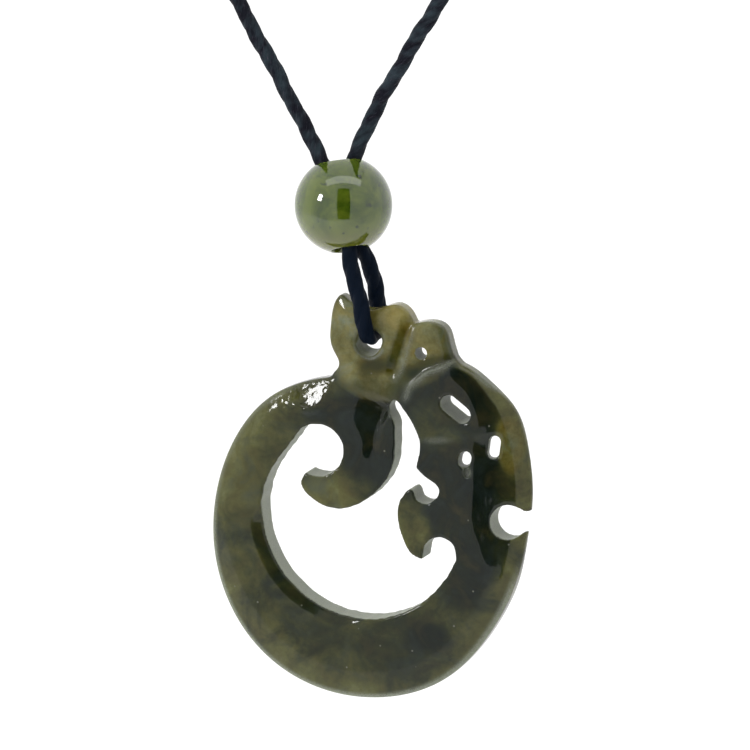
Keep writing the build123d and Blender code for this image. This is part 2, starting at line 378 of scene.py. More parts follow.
def wound_barrel(name, across, around):
    """A barrel along X: out over the wound surface and back through the hole, as one closed profile.

    The radius swells with |cos| of the helix's phase and falls at the ends as the root of 1 - |x|^8.
    """
    share = np.linspace(-1, 1, across)[:, None]
    angle = np.linspace(0, 2 * pi, around, endpoint=False)[None, :]
    x = knot_half * np.sin(share * pi / 2)
    ridge = np.abs(np.cos(pi * x / wind_pitch + angle / 2)) ** 0.8
    shoulder = (1 - np.abs(x / knot_half) ** 8).clip(0) ** 0.5
    radius = knot_hole + (knot_radius - knot_hole) * shoulder * (1 - wind_depth + wind_depth * ridge)
    hole_ends = np.array([[0.96], [-0.96]]) * knot_half * np.ones(around)
    x = np.vstack([np.broadcast_to(x, radius.shape), hole_ends])
    radius = np.vstack([radius, np.full((2, around), knot_hole)])
    angle = np.broadcast_to(angle, radius.shape)
    places = np.stack([x, radius * np.cos(angle), radius * np.sin(angle)], axis=-1) + knot_middle
    faces = grid_faces(across + 2, around, close_rows=True, close_columns=True)[:, ::-1]
    made = piece_of(name, places.reshape(-1, 3), faces.tolist())
    wound = (x / wind_pitch + angle / 2 / pi) % 1
    add_values(made, "yarn", np.stack([x * 0.7, wound, angle * radius], axis=-1).reshape(-1, 3))
    return made


knot_piece = wound_barrel("wound_knot", 90, 72)

# %% [markdown]
# ## The bead
# A ball of jade drilled for two strands. A sphere with a Boolean cut would leave hard rims and ragged faces,
# so its surface is one closed profile turned about the bore's leaning axis: the ball's arc, a rounded lip, a
# flared mouth, the straight bore and the other mouth.

# %% Profile of the bead
bead_low, bead_high = [np.array(corner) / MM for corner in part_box("bead")]
bead_middle = (bead_low + bead_high) / 2
bead_radius = (bead_high - bead_low)[1] / 2
# The upper mouth is wide, as the strands part there. The lower one is hardly wider than the throat.
top_mouth, top_depth = 2.45, 2.2
bottom_mouth, bottom_depth = 1.85, 0.7
throat_radius = 1.7
lip_softness = 0.35
profile_steps = 400


def bead_profile():
    """Rounded profile points (radius, height): mitred corners softened by a running mean along the outline.

    The ball's own arc isn't softened, so the bead stays round and only the mouths lose their corners.
    """
    top = (bead_radius**2 - top_mouth**2) ** 0.5
    bottom = -((bead_radius**2 - bottom_mouth**2) ** 0.5)
    arc = np.linspace(np.arctan2(bottom, bottom_mouth), np.arctan2(top, top_mouth), 200)
    ball = np.stack([bead_radius * np.cos(arc), bead_radius * np.sin(arc)], axis=1)
    inner = np.array([
        (top_mouth, top), (throat_radius, top - top_depth),
        (throat_radius, bottom + bottom_depth), (bottom_mouth, bottom),
    ])
    outline = np.vstack([ball[:-1], inner])
    closed = np.vstack([outline, outline[:1]])
    along = np.concatenate([[0], np.cumsum(np.linalg.norm(np.diff(closed, axis=0), axis=1))])
    even = np.linspace(0, along[-1], profile_steps, endpoint=False)
    fine = np.stack([np.interp(even, along, closed[:, i]) for i in range(2)], axis=1)
    half = int(lip_softness / (along[-1] / profile_steps))
    kernel = np.hanning(2 * half + 3)[1:-1]
    kernel = kernel / kernel.sum()
    padded = np.vstack([fine[-half:], fine, fine[:half]])
    soft = np.stack([np.convolve(padded[:, i], kernel, mode="valid") for i in range(2)], axis=1)
    on_ball = np.linalg.norm(fine, axis=1) > bead_radius - 0.001
    stays = on_ball & (np.linalg.norm(soft, axis=1) > bead_radius - 0.02)
    return np.where(stays[:, None], fine, soft)[::2]


# %% Turned bead
bead_lean = radians(13.0)
bead_tip = radians(17.0)


def turned(name, profile, around):
    """The profile turned about the bore's axis, whose top leans to the left and tips back.

    A point is middle + height * axis + radius * (cos(angle) * side + sin(angle) * behind).
    """
    angle = np.linspace(0, 2 * pi, around, endpoint=False)[None, :]
    axis = np.array([-sin(bead_lean), cos(bead_lean) * sin(bead_tip), cos(bead_lean) * cos(bead_tip)])
    behind = np.array([0, cos(bead_tip), -sin(bead_tip)])
    side = np.cross(behind, axis)
    radius, height = profile[:, :1], profile[:, 1:]
    outward = (radius * np.cos(angle))[..., None] * side + (radius * np.sin(angle))[..., None] * behind
    places = bead_middle + height[..., None] * axis + outward
    faces = grid_faces(len(profile), around, close_rows=True, close_columns=True)
    return piece_of(name, places.reshape(-1, 3), faces.tolist())


bead_piece = turned("turned_bead", bead_profile(), 128)
bead_points = np.empty(len(bead_piece.data.vertices) * 3, np.float32)
bead_piece.data.vertices.foreach_get("co", bead_points)
bead_height = bead_points.reshape(-1, 3)[:, 2] / MM - bead_middle[2]
# Painted light: the bead's lower third is made a warmer, lighter green, where it mirrors the white floor and
# light scatters in from below.
add_values(bead_piece, "low", ramp(bead_height, -0.8, -3.4))

# %% [markdown]
# ## The carving: outlines
# A carver saws the outline and the openings out of a flat slab, then grinds the faces and edges. An extruded
# outline with a bevel would look stamped, so the model works as the carver does, with distances: each
# outline gives a map of how far every place is from it, and thickness and bevels are worked out from those
# maps. The outlines are smooth lines through a few chosen points, close to those of the CAD, as shares of
# the crest's height and of the ring's and the opening's radius.

# %% Outline points
crest_height = 4.75
ring_radius = 16.6
ring_place = (-0.5, -20.3)
opening_radius = 10.5
opening_place = (-1.0, -18.4)
curl_radius = 2.6
lower_wall = 8.1

# Each row of the ring: the angle in degrees, and the reach as a share of the ring's radius.
RING_OUTLINE = [
    (3, 1.03), (15, 1.094), (30, 1.191), (41, 1.269), (52, 1.28), (61, 1.275), (68, 1.20), (76, 1.07),
    (84, 1.00), (98, 1.002), (112, 1.024), (125, 1.042), (145, 1.023), (165, 0.998), (190, 0.998),
    (225, 1.024), (245, 1.028), (270, 1.02), (300, 1.009), (330, 0.979), (348, 0.998),
]
# Each row from here on: shares across and up.
CREST_NECK = [
    (-0.82, -0.72), (-0.71, -0.54), (-0.83, -0.25), (-0.925, 0.33), (-0.86, 0.74), (-0.76, 0.93),
    (-0.68, 0.98), (-0.59, 0.94),
]
MIDDLE_LOBE = [
    (-0.59, 0.94), (-0.50, 0.88), (-0.07, 0.70), (0.26, 0.76), (0.60, 0.85), (0.81, 0.75), (0.99, 0.46),
]
RIGHT_LOBE = [(0.99, 0.46), (1.38, 0.525), (1.66, 0.42), (1.82, 0.02), (1.95, -0.33)]
FACE_LINE = [(0.41, 1.165), (0.495, 1.05), (0.575, 0.92), (0.62, 0.76), (0.60, 0.62), (0.58, 0.545)]
BITE_LINE = [
    (0.58, 0.545), (0.66, 0.47), (0.755, 0.42), (0.82, 0.33), (0.78, 0.25), (0.66, 0.195), (0.585, 0.23),
]
BEAK_LINE = [
    (0.585, 0.23), (0.53, 0.33), (0.462, 0.28), (0.40, 0.02), (0.45, -0.16), (0.535, -0.31), (0.65, -0.365),
]
JAW_LINE = [(0.65, -0.365), (0.69, -0.20), (0.77, -0.14), (0.90, -0.145), (0.98, -0.22), (0.996, -0.34)]
CHIN_LINE = [(0.996, -0.34), (0.93, -0.475), (0.825, -0.62)]
CHEEK_LINE = [(-0.995, 0.10), (-0.94, 0.34), (-0.83, 0.54), (-0.66, 0.76)]
CURL_PLACE = (-0.41, 0.667)
HOOK_LINE = [
    (-0.54, 0.43), (-0.59, 0.335), (-0.51, 0.205), (-0.19, 0.09), (0.15, 0.262), (0.338, 0.55),
    (0.365, 0.80),
]
SLIT_LINE = [(0.365, 0.80), (0.335, 1.02), (0.30, 1.14), (0.355, 1.195), (0.41, 1.165)]


# %% Smooth lines through chosen points
def curve_through(points, closed=False, spacing=0.15):
    """A cubic spline on chord length. Its bends at the points come from one small linear system."""
    knots = np.array(points, float)
    if closed:
        knots = np.vstack([knots, knots[:1]])
    chord = np.linalg.norm(np.diff(knots, axis=0), axis=1)
    slope = np.diff(knots, axis=0) / chord[:, None]
    count = len(chord)
    system = np.zeros((count + 1, count + 1))
    right = np.zeros((count + 1, 2))
    inner = np.arange(1, count)
    system[inner, inner - 1] = chord[:-1]
    system[inner, inner] = 2 * (chord[:-1] + chord[1:])
    system[inner, inner + 1] = chord[1:]
    right[1:count] = 6 * np.diff(slope, axis=0)
    if closed:
        system[0, [0, count]] = 1, -1
        system[count, [0, 1]] = 2 * chord[0], chord[0]
        system[count, [count - 1, count]] = chord[-1], 2 * chord[-1]
        right[count] = 6 * (slope[0] - slope[-1])
    else:
        system[0, 0] = system[count, count] = 1
    bend = np.linalg.solve(system, right)
    start = np.concatenate([[0], np.cumsum(chord)])
    place = np.linspace(0, start[-1], max(3, int(start[-1] / spacing)))
    run = np.clip(np.searchsorted(start, place, side="right") - 1, 0, count - 1)
    done = (place - start[run])[:, None]
    left = (start[run + 1] - place)[:, None]
    length = chord[run][:, None]
    line = (bend[run] * left**3 + bend[run + 1] * done**3) / (6 * length)
    line += (knots[run] / length - bend[run] * length / 6) * left
    line += (knots[run + 1] / length - bend[run + 1] * length / 6) * done
    return line[:-1] if closed else line


def arc_through(start, middle, end, spacing=0.15):
    """The circle's arc from start to end by way of middle."""
    a, b, c = (np.array(p, float) for p in (start, middle, end))
    system = 2 * np.array([b - a, c - a])
    centre = np.linalg.solve(system, [b @ b - a @ a, c @ c - a @ a])
    radius = np.linalg.norm(a - centre)
    angles = [np.arctan2(*(p - centre)[::-1]) for p in (a, b, c)]
    turn = np.unwrap(angles)
    if abs(turn[2] - turn[0]) < abs(turn[1] - turn[0]):
        turn[2] += 2 * pi * np.sign(turn[1] - turn[0])
    angle = np.linspace(turn[0], turn[2], max(3, int(abs(turn[2] - turn[0]) * radius / spacing)))
    return centre + radius * np.stack([np.cos(angle), np.sin(angle)], axis=1)


def shares(rows, size, place=(0, 0)):
    """Rows of shares of a size as places across and up from the bore, in millimetres."""
    return np.array(rows) * size + place


# %% The three outlines
ring_rows = np.array(RING_OUTLINE)
ring_angle, ring_reach = np.radians(ring_rows[:, 0]), ring_rows[:, 1] * ring_radius
ring_points = np.stack([ring_reach * np.cos(ring_angle), ring_reach * np.sin(ring_angle)], axis=1)
ring_outline = curve_through(ring_points + ring_place, closed=True)
crest_root = -7.3
crest_neck, middle_lobe, right_lobe = [
    curve_through(shares(rows, crest_height)) for rows in (CREST_NECK, MIDDLE_LOBE, RIGHT_LOBE)
]
crest_foot = [(right_lobe[-1][0], crest_root), (crest_neck[0][0], crest_root)]
crest_outline = np.vstack([crest_neck[:-1], middle_lobe[:-1], right_lobe, crest_foot])


def opening_line(rows):
    """One stretch of the opening's outline."""
    return curve_through(shares(rows, opening_radius, opening_place))


chin, cheek, hook = opening_line(CHIN_LINE), opening_line(CHEEK_LINE), opening_line(HOOK_LINE)
opening_bottom = (opening_place[0], ring_place[1] - ring_radius + lower_wall)
curl = shares(CURL_PLACE, opening_radius, opening_place)
opening_outline = np.vstack([
    *[opening_line(rows)[:-1] for rows in (FACE_LINE, BITE_LINE, BEAK_LINE, JAW_LINE)],
    chin[:-1],
    arc_through(chin[-1], opening_bottom, cheek[0])[:-1],
    cheek[:-1],
    arc_through(cheek[-1], (curl[0] + curl_radius, curl[1]), hook[0])[:-1],
    hook[:-1],
    opening_line(SLIT_LINE)[:-1],
])
print("outline points", len(ring_outline), len(crest_outline), len(opening_outline))

# %% [markdown]
# ## The carving: distance maps
# Ground stone has no hard corner where two cuts meet. Boolean cuts would leave one, and a bevel on its
# uneven edge often fails, so each form is a map: one array of distances over the carving's plane. A blend
# that takes the larger of two maps with a rounded corner cuts one form out of another, and one that takes
# the smaller joins two forms with a fillet.

# %% Distances to outlines and lines
grid_step = 0.165
across = np.arange(-18.2, 18.6, grid_step, dtype=np.float32)
height = np.arange(-38.4, 6.2, grid_step, dtype=np.float32)
depth = np.arange(-2.6, 2.6, grid_step, dtype=np.float32)
u, w = np.meshgrid(across, height, indexing="ij")


def signed_distance(outline):
    """How far each place of the map is from a closed outline, and below zero inside it."""
    start = outline.astype(np.float32)
    end = np.roll(start, -1, axis=0)
    run = end - start
    length2 = (run**2).sum(axis=1)
    rise = np.where(np.abs(run[:, 1]) < 1e-9, 1e-9, run[:, 1])
    result = np.empty_like(u)
    # A few columns of the map at a time, to spare memory.
    for block in np.array_split(np.arange(len(u)), 32):
        du = u[block][..., None] - start[:, 0]
        dw = w[block][..., None] - start[:, 1]
        share = np.clip((du * run[:, 0] + dw * run[:, 1]) / length2, 0, 1)
        gap2 = (du - share * run[:, 0]) ** 2 + (dw - share * run[:, 1]) ** 2
        crosses = (dw < 0) != (dw < run[:, 1])
        odd = (crosses & (du < run[:, 0] * dw / rise)).sum(axis=-1) % 2 == 1
        result[block] = np.sqrt(gap2.min(axis=-1)) * np.where(odd, -1, 1)
    return result


def line_distance(points):
    """Distance to an open line, and the share of the way along it.

    The distance is above zero on the right of one who goes along the line, and below zero on the left.
    """
    line = curve_through(points, spacing=0.4).astype(np.float32)
    start, run = line[:-1], np.diff(line, axis=0)
    du = u[..., None] - start[:, 0]
    dw = w[..., None] - start[:, 1]
    share = np.clip((du * run[:, 0] + dw * run[:, 1]) / (run**2).sum(axis=1), 0, 1)
    gap = np.hypot(du - share * run[:, 0], dw - share * run[:, 1])
    side = np.sign(du * run[:, 1] - dw * run[:, 0])
    nearest = gap.argmin(axis=-1)[..., None]

    def pick(values):
        return np.take_along_axis(values, nearest, axis=-1)[..., 0]

    return pick(gap) * pick(side), (nearest[..., 0] + pick(share)) / len(run)


def cut(body, tool, rounding):
    """The larger of two fields with its corner rounded: what is left of body outside the tool's edge."""
    blend = np.clip(rounding - np.abs(body - tool), 0, None) / rounding
    return np.maximum(body, tool) + blend**2 * rounding / 4


def join(one, other, fillet):
    """The smaller of two fields with a fillet where they meet."""
    return -cut(-one, -other, fillet)


ring_map = signed_distance(ring_outline)
crest_map = signed_distance(crest_outline)
opening_map = signed_distance(opening_outline)
outer_map = join(ring_map, crest_map, 0.9)
print("maps", ring_map.shape, "steps deep", len(depth))

# %% [markdown]
# ## The carving: relief of the faces
# The front isn't flat. The ring rolls off to a thin outer edge, the head has a side facet that falls away to
# the right of a crisp line, the crest is thinner than the head and meets it at a bright step under the
# brow, grooves part the crest's lobes, and the opening's lower left edge is ground to a narrow facet. These
# could be sculpted with a brush, but here each is a formula of the distance to a line, added to a map of the
# front's height over the middle plane, so one number moves or deepens it. The back is plainer.

# %% Lines of the relief
BROW_STEP = [
    (3.2, -5.9), (3.73, -5.26), (4.08, -4.27), (5.03, -3.45), (5.94, -2.62), (7.25, -2.02), (8.42, -1.46),
    (9.6, -1.0),
]
SIDE_RIDGE = [
    (13.2, -26.0), (12.74, -22.8), (12.2, -21.05), (11.45, -19.2), (11.07, -17.8), (11.13, -15.6),
    (11.23, -13.40), (11.3, -9.55), (11.8, -7.73), (11.55, -6.2), (10.75, -4.8), (9.0, -3.1), (8.0, -1.9),
    (7.2, -0.6),
]
LOBE_GROOVE = [(1.96, -3.96), (2.82, -2.76), (3.68, -0.2), (4.17, 1.5), (4.6, 3.0)]
HOOK_GROOVE = [(-0.2, -13.2), (0.27, -11.97), (0.65, -9.55), (1.3, -7.7), (2.2, -5.7)]
BROW_RIB = [(6.3, -9.6), (7.1, -9.42), (10.65, -8.78), (14.5, -8.1)]
step_gap, step_way = line_distance(BROW_STEP)
ridge_gap = line_distance(SIDE_RIDGE)[0]
groove_gap, groove_way = line_distance(LOBE_GROOVE)
hook_gap, hook_way = line_distance(HOOK_GROOVE)
rib_gap, rib_way = line_distance(BROW_RIB)
for form, rows in (("brow step", BROW_STEP), ("side ridge", SIDE_RIDGE), ("lobe groove", LOBE_GROOVE),
                   ("hook groove", HOOK_GROOVE), ("brow rib", BROW_RIB)):
    print(form, "is", np.linalg.norm(np.diff(rows, axis=0), axis=1).sum().round(1), "mm long")


# %% Shapes of a section
def softened(values, passes):
    """The map after some passes of a 1-2-1 mean both ways, which rounds off its creases."""
    for _ in range(passes):
        for axis in (0, 1):
            values = (np.roll(values, 1, axis) + 2 * values + np.roll(values, -1, axis)) / 4
    return values


def roll_off(distance, width, fall):
    """A shoulder that leaves the face level and is steepest at the edge: a parabola."""
    return fall * np.clip(1 - distance / width, 0, 1) ** 2


def v_groove(gap, left, right):
    """A groove's section: a wide wall on its left and a narrow one on its right, with a rounded bottom."""
    wall = np.where(gap < 0, 1 + gap / left, 1 - gap / right)
    return np.clip(cut(wall, np.zeros_like(wall), 0.3) - 0.02, 0, None)


# %% Slab under the relief
ring_half = 1.75
crest_half = 1.3
hook_half = 1.35
ridge_half = 1.9
# The head thins by this slope to the left of its ridge.
head_thinning = 0.055

inset = -outer_map
on_head = ramp(u, 2.6, 5.5) * ramp(w, -26.5, -21.0)
above_step = np.where(u > 3.4, ramp(-step_gap, -0.3, 0.25), ramp(w, -6.8, -3.2))
on_hook = ramp(u, -6.5, 1.5) * ramp(w, -18.0, -13.5) * (1 - on_head)
left_lobe = above_step * ramp(u, 0.2, -1.4) * ramp(w, -0.5, 2.0)
head_half = ridge_half + np.clip(u - 11.2, -6.5, 0) * head_thinning
slab = ring_half + (head_half - ring_half) * on_head + (hook_half - ring_half) * on_hook
slab = slab + (crest_half - slab) * above_step
print("half the slab is", slab.min().round(2), "to", slab.max().round(2), "mm thick")

# %% Rolled shoulder and flat rim
ring_shoulder, ring_fall = 3.0, 0.95
crest_shoulder, crest_fall = 1.1, 0.35
lobe_fall_less = 0.2
rim_slope = tan(radians(28.0))

# The outer shoulder: broad on the ring, small on the crest.
shoulder_width = ring_shoulder + (crest_shoulder - ring_shoulder) * above_step
shoulder_fall = ring_fall + (crest_fall - ring_fall) * above_step - lobe_fall_less * left_lobe
shoulder = softened(roll_off(inset, shoulder_width, shoulder_fall), 8)
# The head's right rim is a flat chamfer instead, with a crisp inner line. It widens downwards.
on_rim = ramp(u, 6.5, 9.0) * ramp(w, -27.5, -22.0) * (1 - above_step)
rim_width = np.clip(0.45 - 0.22 * (w + 3.2), 0.45, 1.4)
chamfer = rim_slope * np.clip(rim_width - inset, 0, 1.5)
shoulder = shoulder + (chamfer - shoulder) * on_rim
print("shoulder falls", shoulder[outer_map < 0].max().round(2), "mm at most")

# %% Side facet of the head
notch_radius = 1.775
notch_angle = radians(9.2)
notch_reach = 1.05 * ring_radius - 1.9
notch_place = (
    ring_place[0] + notch_reach * cos(notch_angle),
    ring_place[1] + notch_reach * sin(notch_angle),
)
notch_circle = np.hypot(u - notch_place[0], w - notch_place[1]) - notch_radius
side_slope = tan(radians(12.5))
brow_steepening = 0.7

# The facet falls less where the brow's rib crosses it, and a little less round the notch.
less_at_rib = 0.45 * np.exp(-(rib_gap / 0.6) ** 2) * ramp(u, 14.0, 12.6)
less_at_notch = 0.10 * np.exp(-((notch_circle - 0.7) / 0.8) ** 2)
on_side = on_head * (1 - above_step) * ramp(w, -25.5, -21.5) * (1 - less_at_rib) * (1 - less_at_notch)
# The facet is steeper at the brow, where it also falls upward.
side_steepness = side_slope * (1 + brow_steepening * ramp(w, -8.2, -5.2))
side_fall = side_steepness * np.clip(ridge_gap, 0, 5.5) * on_side
print("side facet falls", side_fall[outer_map < 0].max().round(2), "mm at most")

# %% Grooves, ground edge, rib and lobe
groove_depth = 0.3
facet_slope = tan(radians(24.0))
rib_height = 0.06
lobe_top, lobe_growth, lobe_most = (-1.49, 2.08), 0.125, 0.95

groove = groove_depth * v_groove(groove_gap, 1.15, 0.45)
groove = groove * ramp(groove_way, 0.0, 0.18) * ramp(groove_way, 1.0, 0.88)
# The fold beside the hook deepens and widens towards the crest.
hook_top = ramp(w, -10.8, -6.9)
hook_fold = (0.28 + 0.42 * hook_top) * v_groove(hook_gap, 1.15 + 1.75 * hook_top, 0.8)
hook_fold = hook_fold * ramp(hook_way, 0.0, 0.3) * ramp(hook_way, 1.0, 0.86)
# The opening's ground edge runs out to nothing at both ends.
facet_width = 1.25 * ramp(u, 1.0, -3.5) * ramp(w, -16.5, -20.0)
facet = np.clip(facet_width - opening_map, 0, None) * facet_slope
rib = rib_height * np.exp(-(rib_gap / 0.5) ** 2) * ramp(rib_way, 0.0, 0.15) * ramp(rib_way, 1.0, 0.9)
# The left lobe is domed like a drop: the fall grows with the square of the distance from its top.
lobe_dome = lobe_growth * ((u - lobe_top[0]) ** 2 + (w - lobe_top[1]) ** 2)
lobe_dome = lobe_most * (1 - np.exp(-lobe_dome / lobe_most)) * left_lobe
front = slab - shoulder - side_fall - groove - hook_fold - facet - lobe_dome + rib
print("fold is", hook_fold.max().round(2), "mm deep, ground edge", facet[opening_map > 0].max().round(2))

# %% Ground flat and the back
# A small flat is ground on the ring's shoulder. It faces up and to the left, so it mirrors the small lamp.
flat_place = (-5.32, -5.8)
flat_depth = 0.10
flat_reach = (2.1, 1.5)
flat_tilt = (tan(radians(11.0)), tan(radians(19.0)))
back_fall = 0.9

flat_middle = (np.abs(across - flat_place[0]).argmin(), np.abs(height - flat_place[1]).argmin())
flat = front[flat_middle] - flat_depth
flat = flat + flat_tilt[0] * (u - flat_place[0]) - flat_tilt[1] * (w - flat_place[1])
past_flat = np.hypot((u - flat_place[0]) / flat_reach[0], (w - flat_place[1]) / flat_reach[1]) - 1
flat = flat + 0.8 * np.clip(past_flat, 0, None)
front = np.minimum(front, flat)

back_slab = ring_half - 0.05 - 0.15 * on_head - 0.4 * on_hook
back_slab = back_slab + (crest_half - back_slab) * above_step
back = back_slab - back_fall * softened(roll_off(inset, shoulder_width, shoulder_fall), 8)
print("front from", front[outer_map < 0].min().round(2), "to", front[outer_map < 0].max().round(2))

# %% [markdown]
# ## The carving: holes
# The bore that hangs on the cord has softly rounded rims, worn by the cord. The slots of the head are filed
# from the front, so they flare a little there and two of them lean, and the round notch breaks through the
# head's edge. A Boolean cut would do for straight holes, but as fields of distance they can also lean,
# flare and be worn on one side.

# %% Bore and lobe hole
plane_u, plane_w = u[:, None, :], w[:, None, :]
v = depth[None, :, None]
toward_front = np.clip(-v / crest_half, 0, 1)
toward_back = np.clip(v / crest_half, 0, 1)

bore_radius = 1.25
# The front rim is worn away towards the lower left, and the hole comes out a little higher at the back.
wear_direction = (-0.65, -0.76)
wear = 0.45
back_rise = 0.3
from_bore = np.hypot(plane_u, plane_w)
worn_side = (plane_u * wear_direction[0] + plane_w * wear_direction[1]) / np.maximum(from_bore, 0.1)
bore_wall = bore_radius + toward_front * wear * np.clip(worn_side, 0, 1) ** 1.3
bore_wall = bore_wall - back_rise * toward_back * np.clip(-plane_w / np.maximum(from_bore, 0.1), 0, 1)
bore_field = from_bore - bore_wall

lobe_hole = (1.17 * crest_height, -0.165 * crest_height)
lobe_hole_radius = 0.62
lobe_hole_field = np.hypot(plane_u - lobe_hole[0], plane_w - lobe_hole[1]) - lobe_hole_radius
print("bore", bore_wall.min().round(2), "to", bore_wall.max().round(2), "mm in radius")

# %% Notch and slots
notch_mouth = 2.1
notch_slot = np.maximum(np.abs(w - notch_place[1]) - notch_mouth / 2, notch_place[0] - u)
notch_map = join(notch_circle, notch_slot, 0.25)

# Each slot: its middle near the front face, turn in degrees, length, width, how much it widens to the
# front, and how far it is drilled aslant, where 1 follows the line of sight.
SLOTS = [
    ((9.40, -6.28), -36.0, 3.40, 1.62, 0.10, 0.0),
    ((13.55, -9.97), 82.0, 2.35, 1.15, 0.04, 0.85),
    ((10.42, -11.43), 78.0, 1.55, 1.10, 0.10, 0.75),
]
# The middles lie on a plane this far in front of the middle plane.
slot_plane = ridge_half - 0.3


def slot_field(middle, turn, length, slot_width, flare, slant):
    """Distance to a slot's walls: a straight line thickened by half its width, wider towards the front."""
    direction = np.array([cos(radians(turn)), sin(radians(turn))])
    reach = (length - slot_width) / 2
    deep = v + slot_plane
    sight = toward_camera / toward_camera[1]
    du = plane_u - middle[0] - slant * deep * sight[0]
    dw = plane_w - middle[1] - slant * deep * sight[2]
    along = np.clip(du * direction[0] + dw * direction[1], -reach, reach)
    radius = slot_width / 2 + flare * np.clip(-v / ring_half, -1, 1)
    return np.hypot(du - along * direction[0], dw - along * direction[1]) - radius


print("notch", 2 * notch_radius, "mm across,", len(SLOTS), "slots")

# %% [markdown]
# ## The carving: skin
# The whole form is one field on a 3-D grid: below zero inside the stone. Blender's remesher would need a
# closed mesh to start from, so surface nets turn the field straight into a mesh. Every cell that the surface
# passes through gets one point at the mean of its edge crossings, and every grid edge that crosses the
# surface gets the quad of the four cells round it.

# %% One field for the stone
face_rounding = 0.3
edge_rounding = 0.35
opening_rounding = 0.18
bore_rounding = 0.4 + 0.5 * ramp(plane_w, -0.5, 0.3)
lobe_hole_rounding = 0.15
notch_rounding = 0.14
slot_rounding = 0.2

# The file leaves shallow waves on the opening's walls.
long_marks = 0.035 * np.sin(1.9 * u + 0.8 * w) * np.sin(2.3 * w - 0.6 * u)
file_marks = long_marks + 0.02 * np.sin(5.1 * u + 3.7 * w)
stone = cut(-v - front[:, None, :], v - back[:, None, :], face_rounding)
stone = cut(stone, outer_map[:, None, :], edge_rounding)
stone = cut(stone, -(opening_map + file_marks)[:, None, :], opening_rounding)
stone = cut(stone, -bore_field, bore_rounding)
stone = cut(stone, -lobe_hole_field, lobe_hole_rounding)
stone = cut(stone, -notch_map[:, None, :], notch_rounding)
for slot in SLOTS:
    stone = cut(stone, -slot_field(*slot), slot_rounding)
# A short shallow trough under the cheek slot, left by the file: an ellipsoid, longest up and down.
trough_place, trough_radius = (10.6, -1.75, -12.5), 0.36
trough = (plane_u - trough_place[0]) ** 2 + ((plane_w - trough_place[2]) / 2.2) ** 2
trough = np.sqrt(trough + ((v - trough_place[1]) / 1.2) ** 2) - trough_radius
stone = cut(stone, -trough, slot_rounding)
print("field of", stone.shape, "values,", int((stone < 0).sum()), "inside")


# %% Surface nets
def window(axis, start, stop):
    """An index that takes a stretch of one axis of a 3-D array."""
    index = [slice(None)] * 3
    index[axis] = slice(start, stop)
    return tuple(index)


def skin(field):
    """Points in grid units and quads that face out of the region below zero."""
    cells = tuple(n - 1 for n in field.shape)
    total = np.zeros(cells + (3,), np.float32)
    count = np.zeros(cells, np.float32)
    for axis in range(3):
        near, far = field[window(axis, 0, -1)], field[window(axis, 1, None)]
        crossed = (near < 0) != (far < 0)
        share = np.where(crossed, near / np.where(crossed, near - far, 1), 0)
        others = [i for i in range(3) if i != axis]
        for first in (0, 1):
            for second in (0, 1):
                index = [slice(None)] * 3
                index[others[0]] = slice(first, first + cells[others[0]])
                index[others[1]] = slice(second, second + cells[others[1]])
                here = crossed[tuple(index)]
                total[..., axis] += share[tuple(index)]
                total[..., others[0]] += first * here
                total[..., others[1]] += second * here
                count += here
    used = count > 0
    number = np.cumsum(used.ravel()).reshape(cells) - 1
    points = np.argwhere(used) + total[used] / count[used][:, None]
    quads = []
    for axis in range(3):
        second, third = (axis + 1) % 3, (axis + 2) % 3
        near, far = field[window(axis, 0, -1)], field[window(axis, 1, None)]
        for outward in (True, False):
            crossed = ((near < 0) & (far >= 0)) if outward else ((near >= 0) & (far < 0))
            at = np.argwhere(crossed)
            corners = []
            for a, b in ((1, 1), (0, 1), (0, 0), (1, 0)):
                cell = at.copy()
                cell[:, second] -= a
                cell[:, third] -= b
                corners.append(number[tuple(cell.T)])
            quad = np.stack(corners, axis=1)
            quads.append(quad if outward else quad[:, ::-1])
    return points, np.vstack(quads)


points, quads = skin(stone)
local = points * grid_step + (across[0], depth[0], height[0])
carving_piece = piece_of("carved_jade", local + bore_place, quads.tolist())

# %% [markdown]
# ## Node helpers
# Every material is built from nodes. They could be placed by hand in the shader editor, but a few helpers
# keep the recipes short: one adds a node with its settings, and others mix colours, work out numbers, move
# a range and make noise. Colours are linear values, the way light adds up.

# %% Node helpers
def add_node(tree, kind, inputs=None, **settings):
    """Adds a node, sets its properties, then fills or links its inputs by name or number."""
    node = tree.nodes.new(kind)
    for name, value in settings.items():
        setattr(node, name, value)
    for name, value in (inputs or {}).items():
        socket = node.inputs[name]
        if isinstance(value, bpy.types.NodeSocket):
            tree.links.new(value, socket)
        else:
            socket.default_value = value
    return node


def mixed(tree, share, first, second, way="MIX"):
    """A colour that goes from first to second, or to their product, as share goes from 0 to 1."""
    node = add_node(tree, "ShaderNodeMix", data_type="RGBA", blend_type=way)
    for socket, value in ((node.inputs[0], share), (node.inputs[6], first), (node.inputs[7], second)):
        if isinstance(value, bpy.types.NodeSocket):
            tree.links.new(value, socket)
        else:
            socket.default_value = value if isinstance(value, float) else (*value, 1)
    return node.outputs[2]


def new_material(name):
    """An empty node material with its output node."""
    material = bpy.data.materials.new(name)
    material.use_nodes = True
    material.node_tree.nodes.clear()
    output = material.node_tree.nodes.new("ShaderNodeOutputMaterial")
    return material, material.node_tree, output


def new_group(name, inputs, outputs):
    """A shader node group with named float inputs and named outputs."""
    group = bpy.data.node_groups.new(name, "ShaderNodeTree")
    for socket, value in inputs.items():
        kind = "NodeSocketVector" if socket == "Place" else "NodeSocketFloat"
        made = group.interface.new_socket(socket, in_out="INPUT", socket_type=kind)
        if kind == "NodeSocketFloat":
            made.default_value = value
    for socket in outputs:
        group.interface.new_socket(socket, in_out="OUTPUT", socket_type="NodeSocketFloat")
    return group, group.nodes.new("NodeGroupInput"), group.nodes.new("NodeGroupOutput")


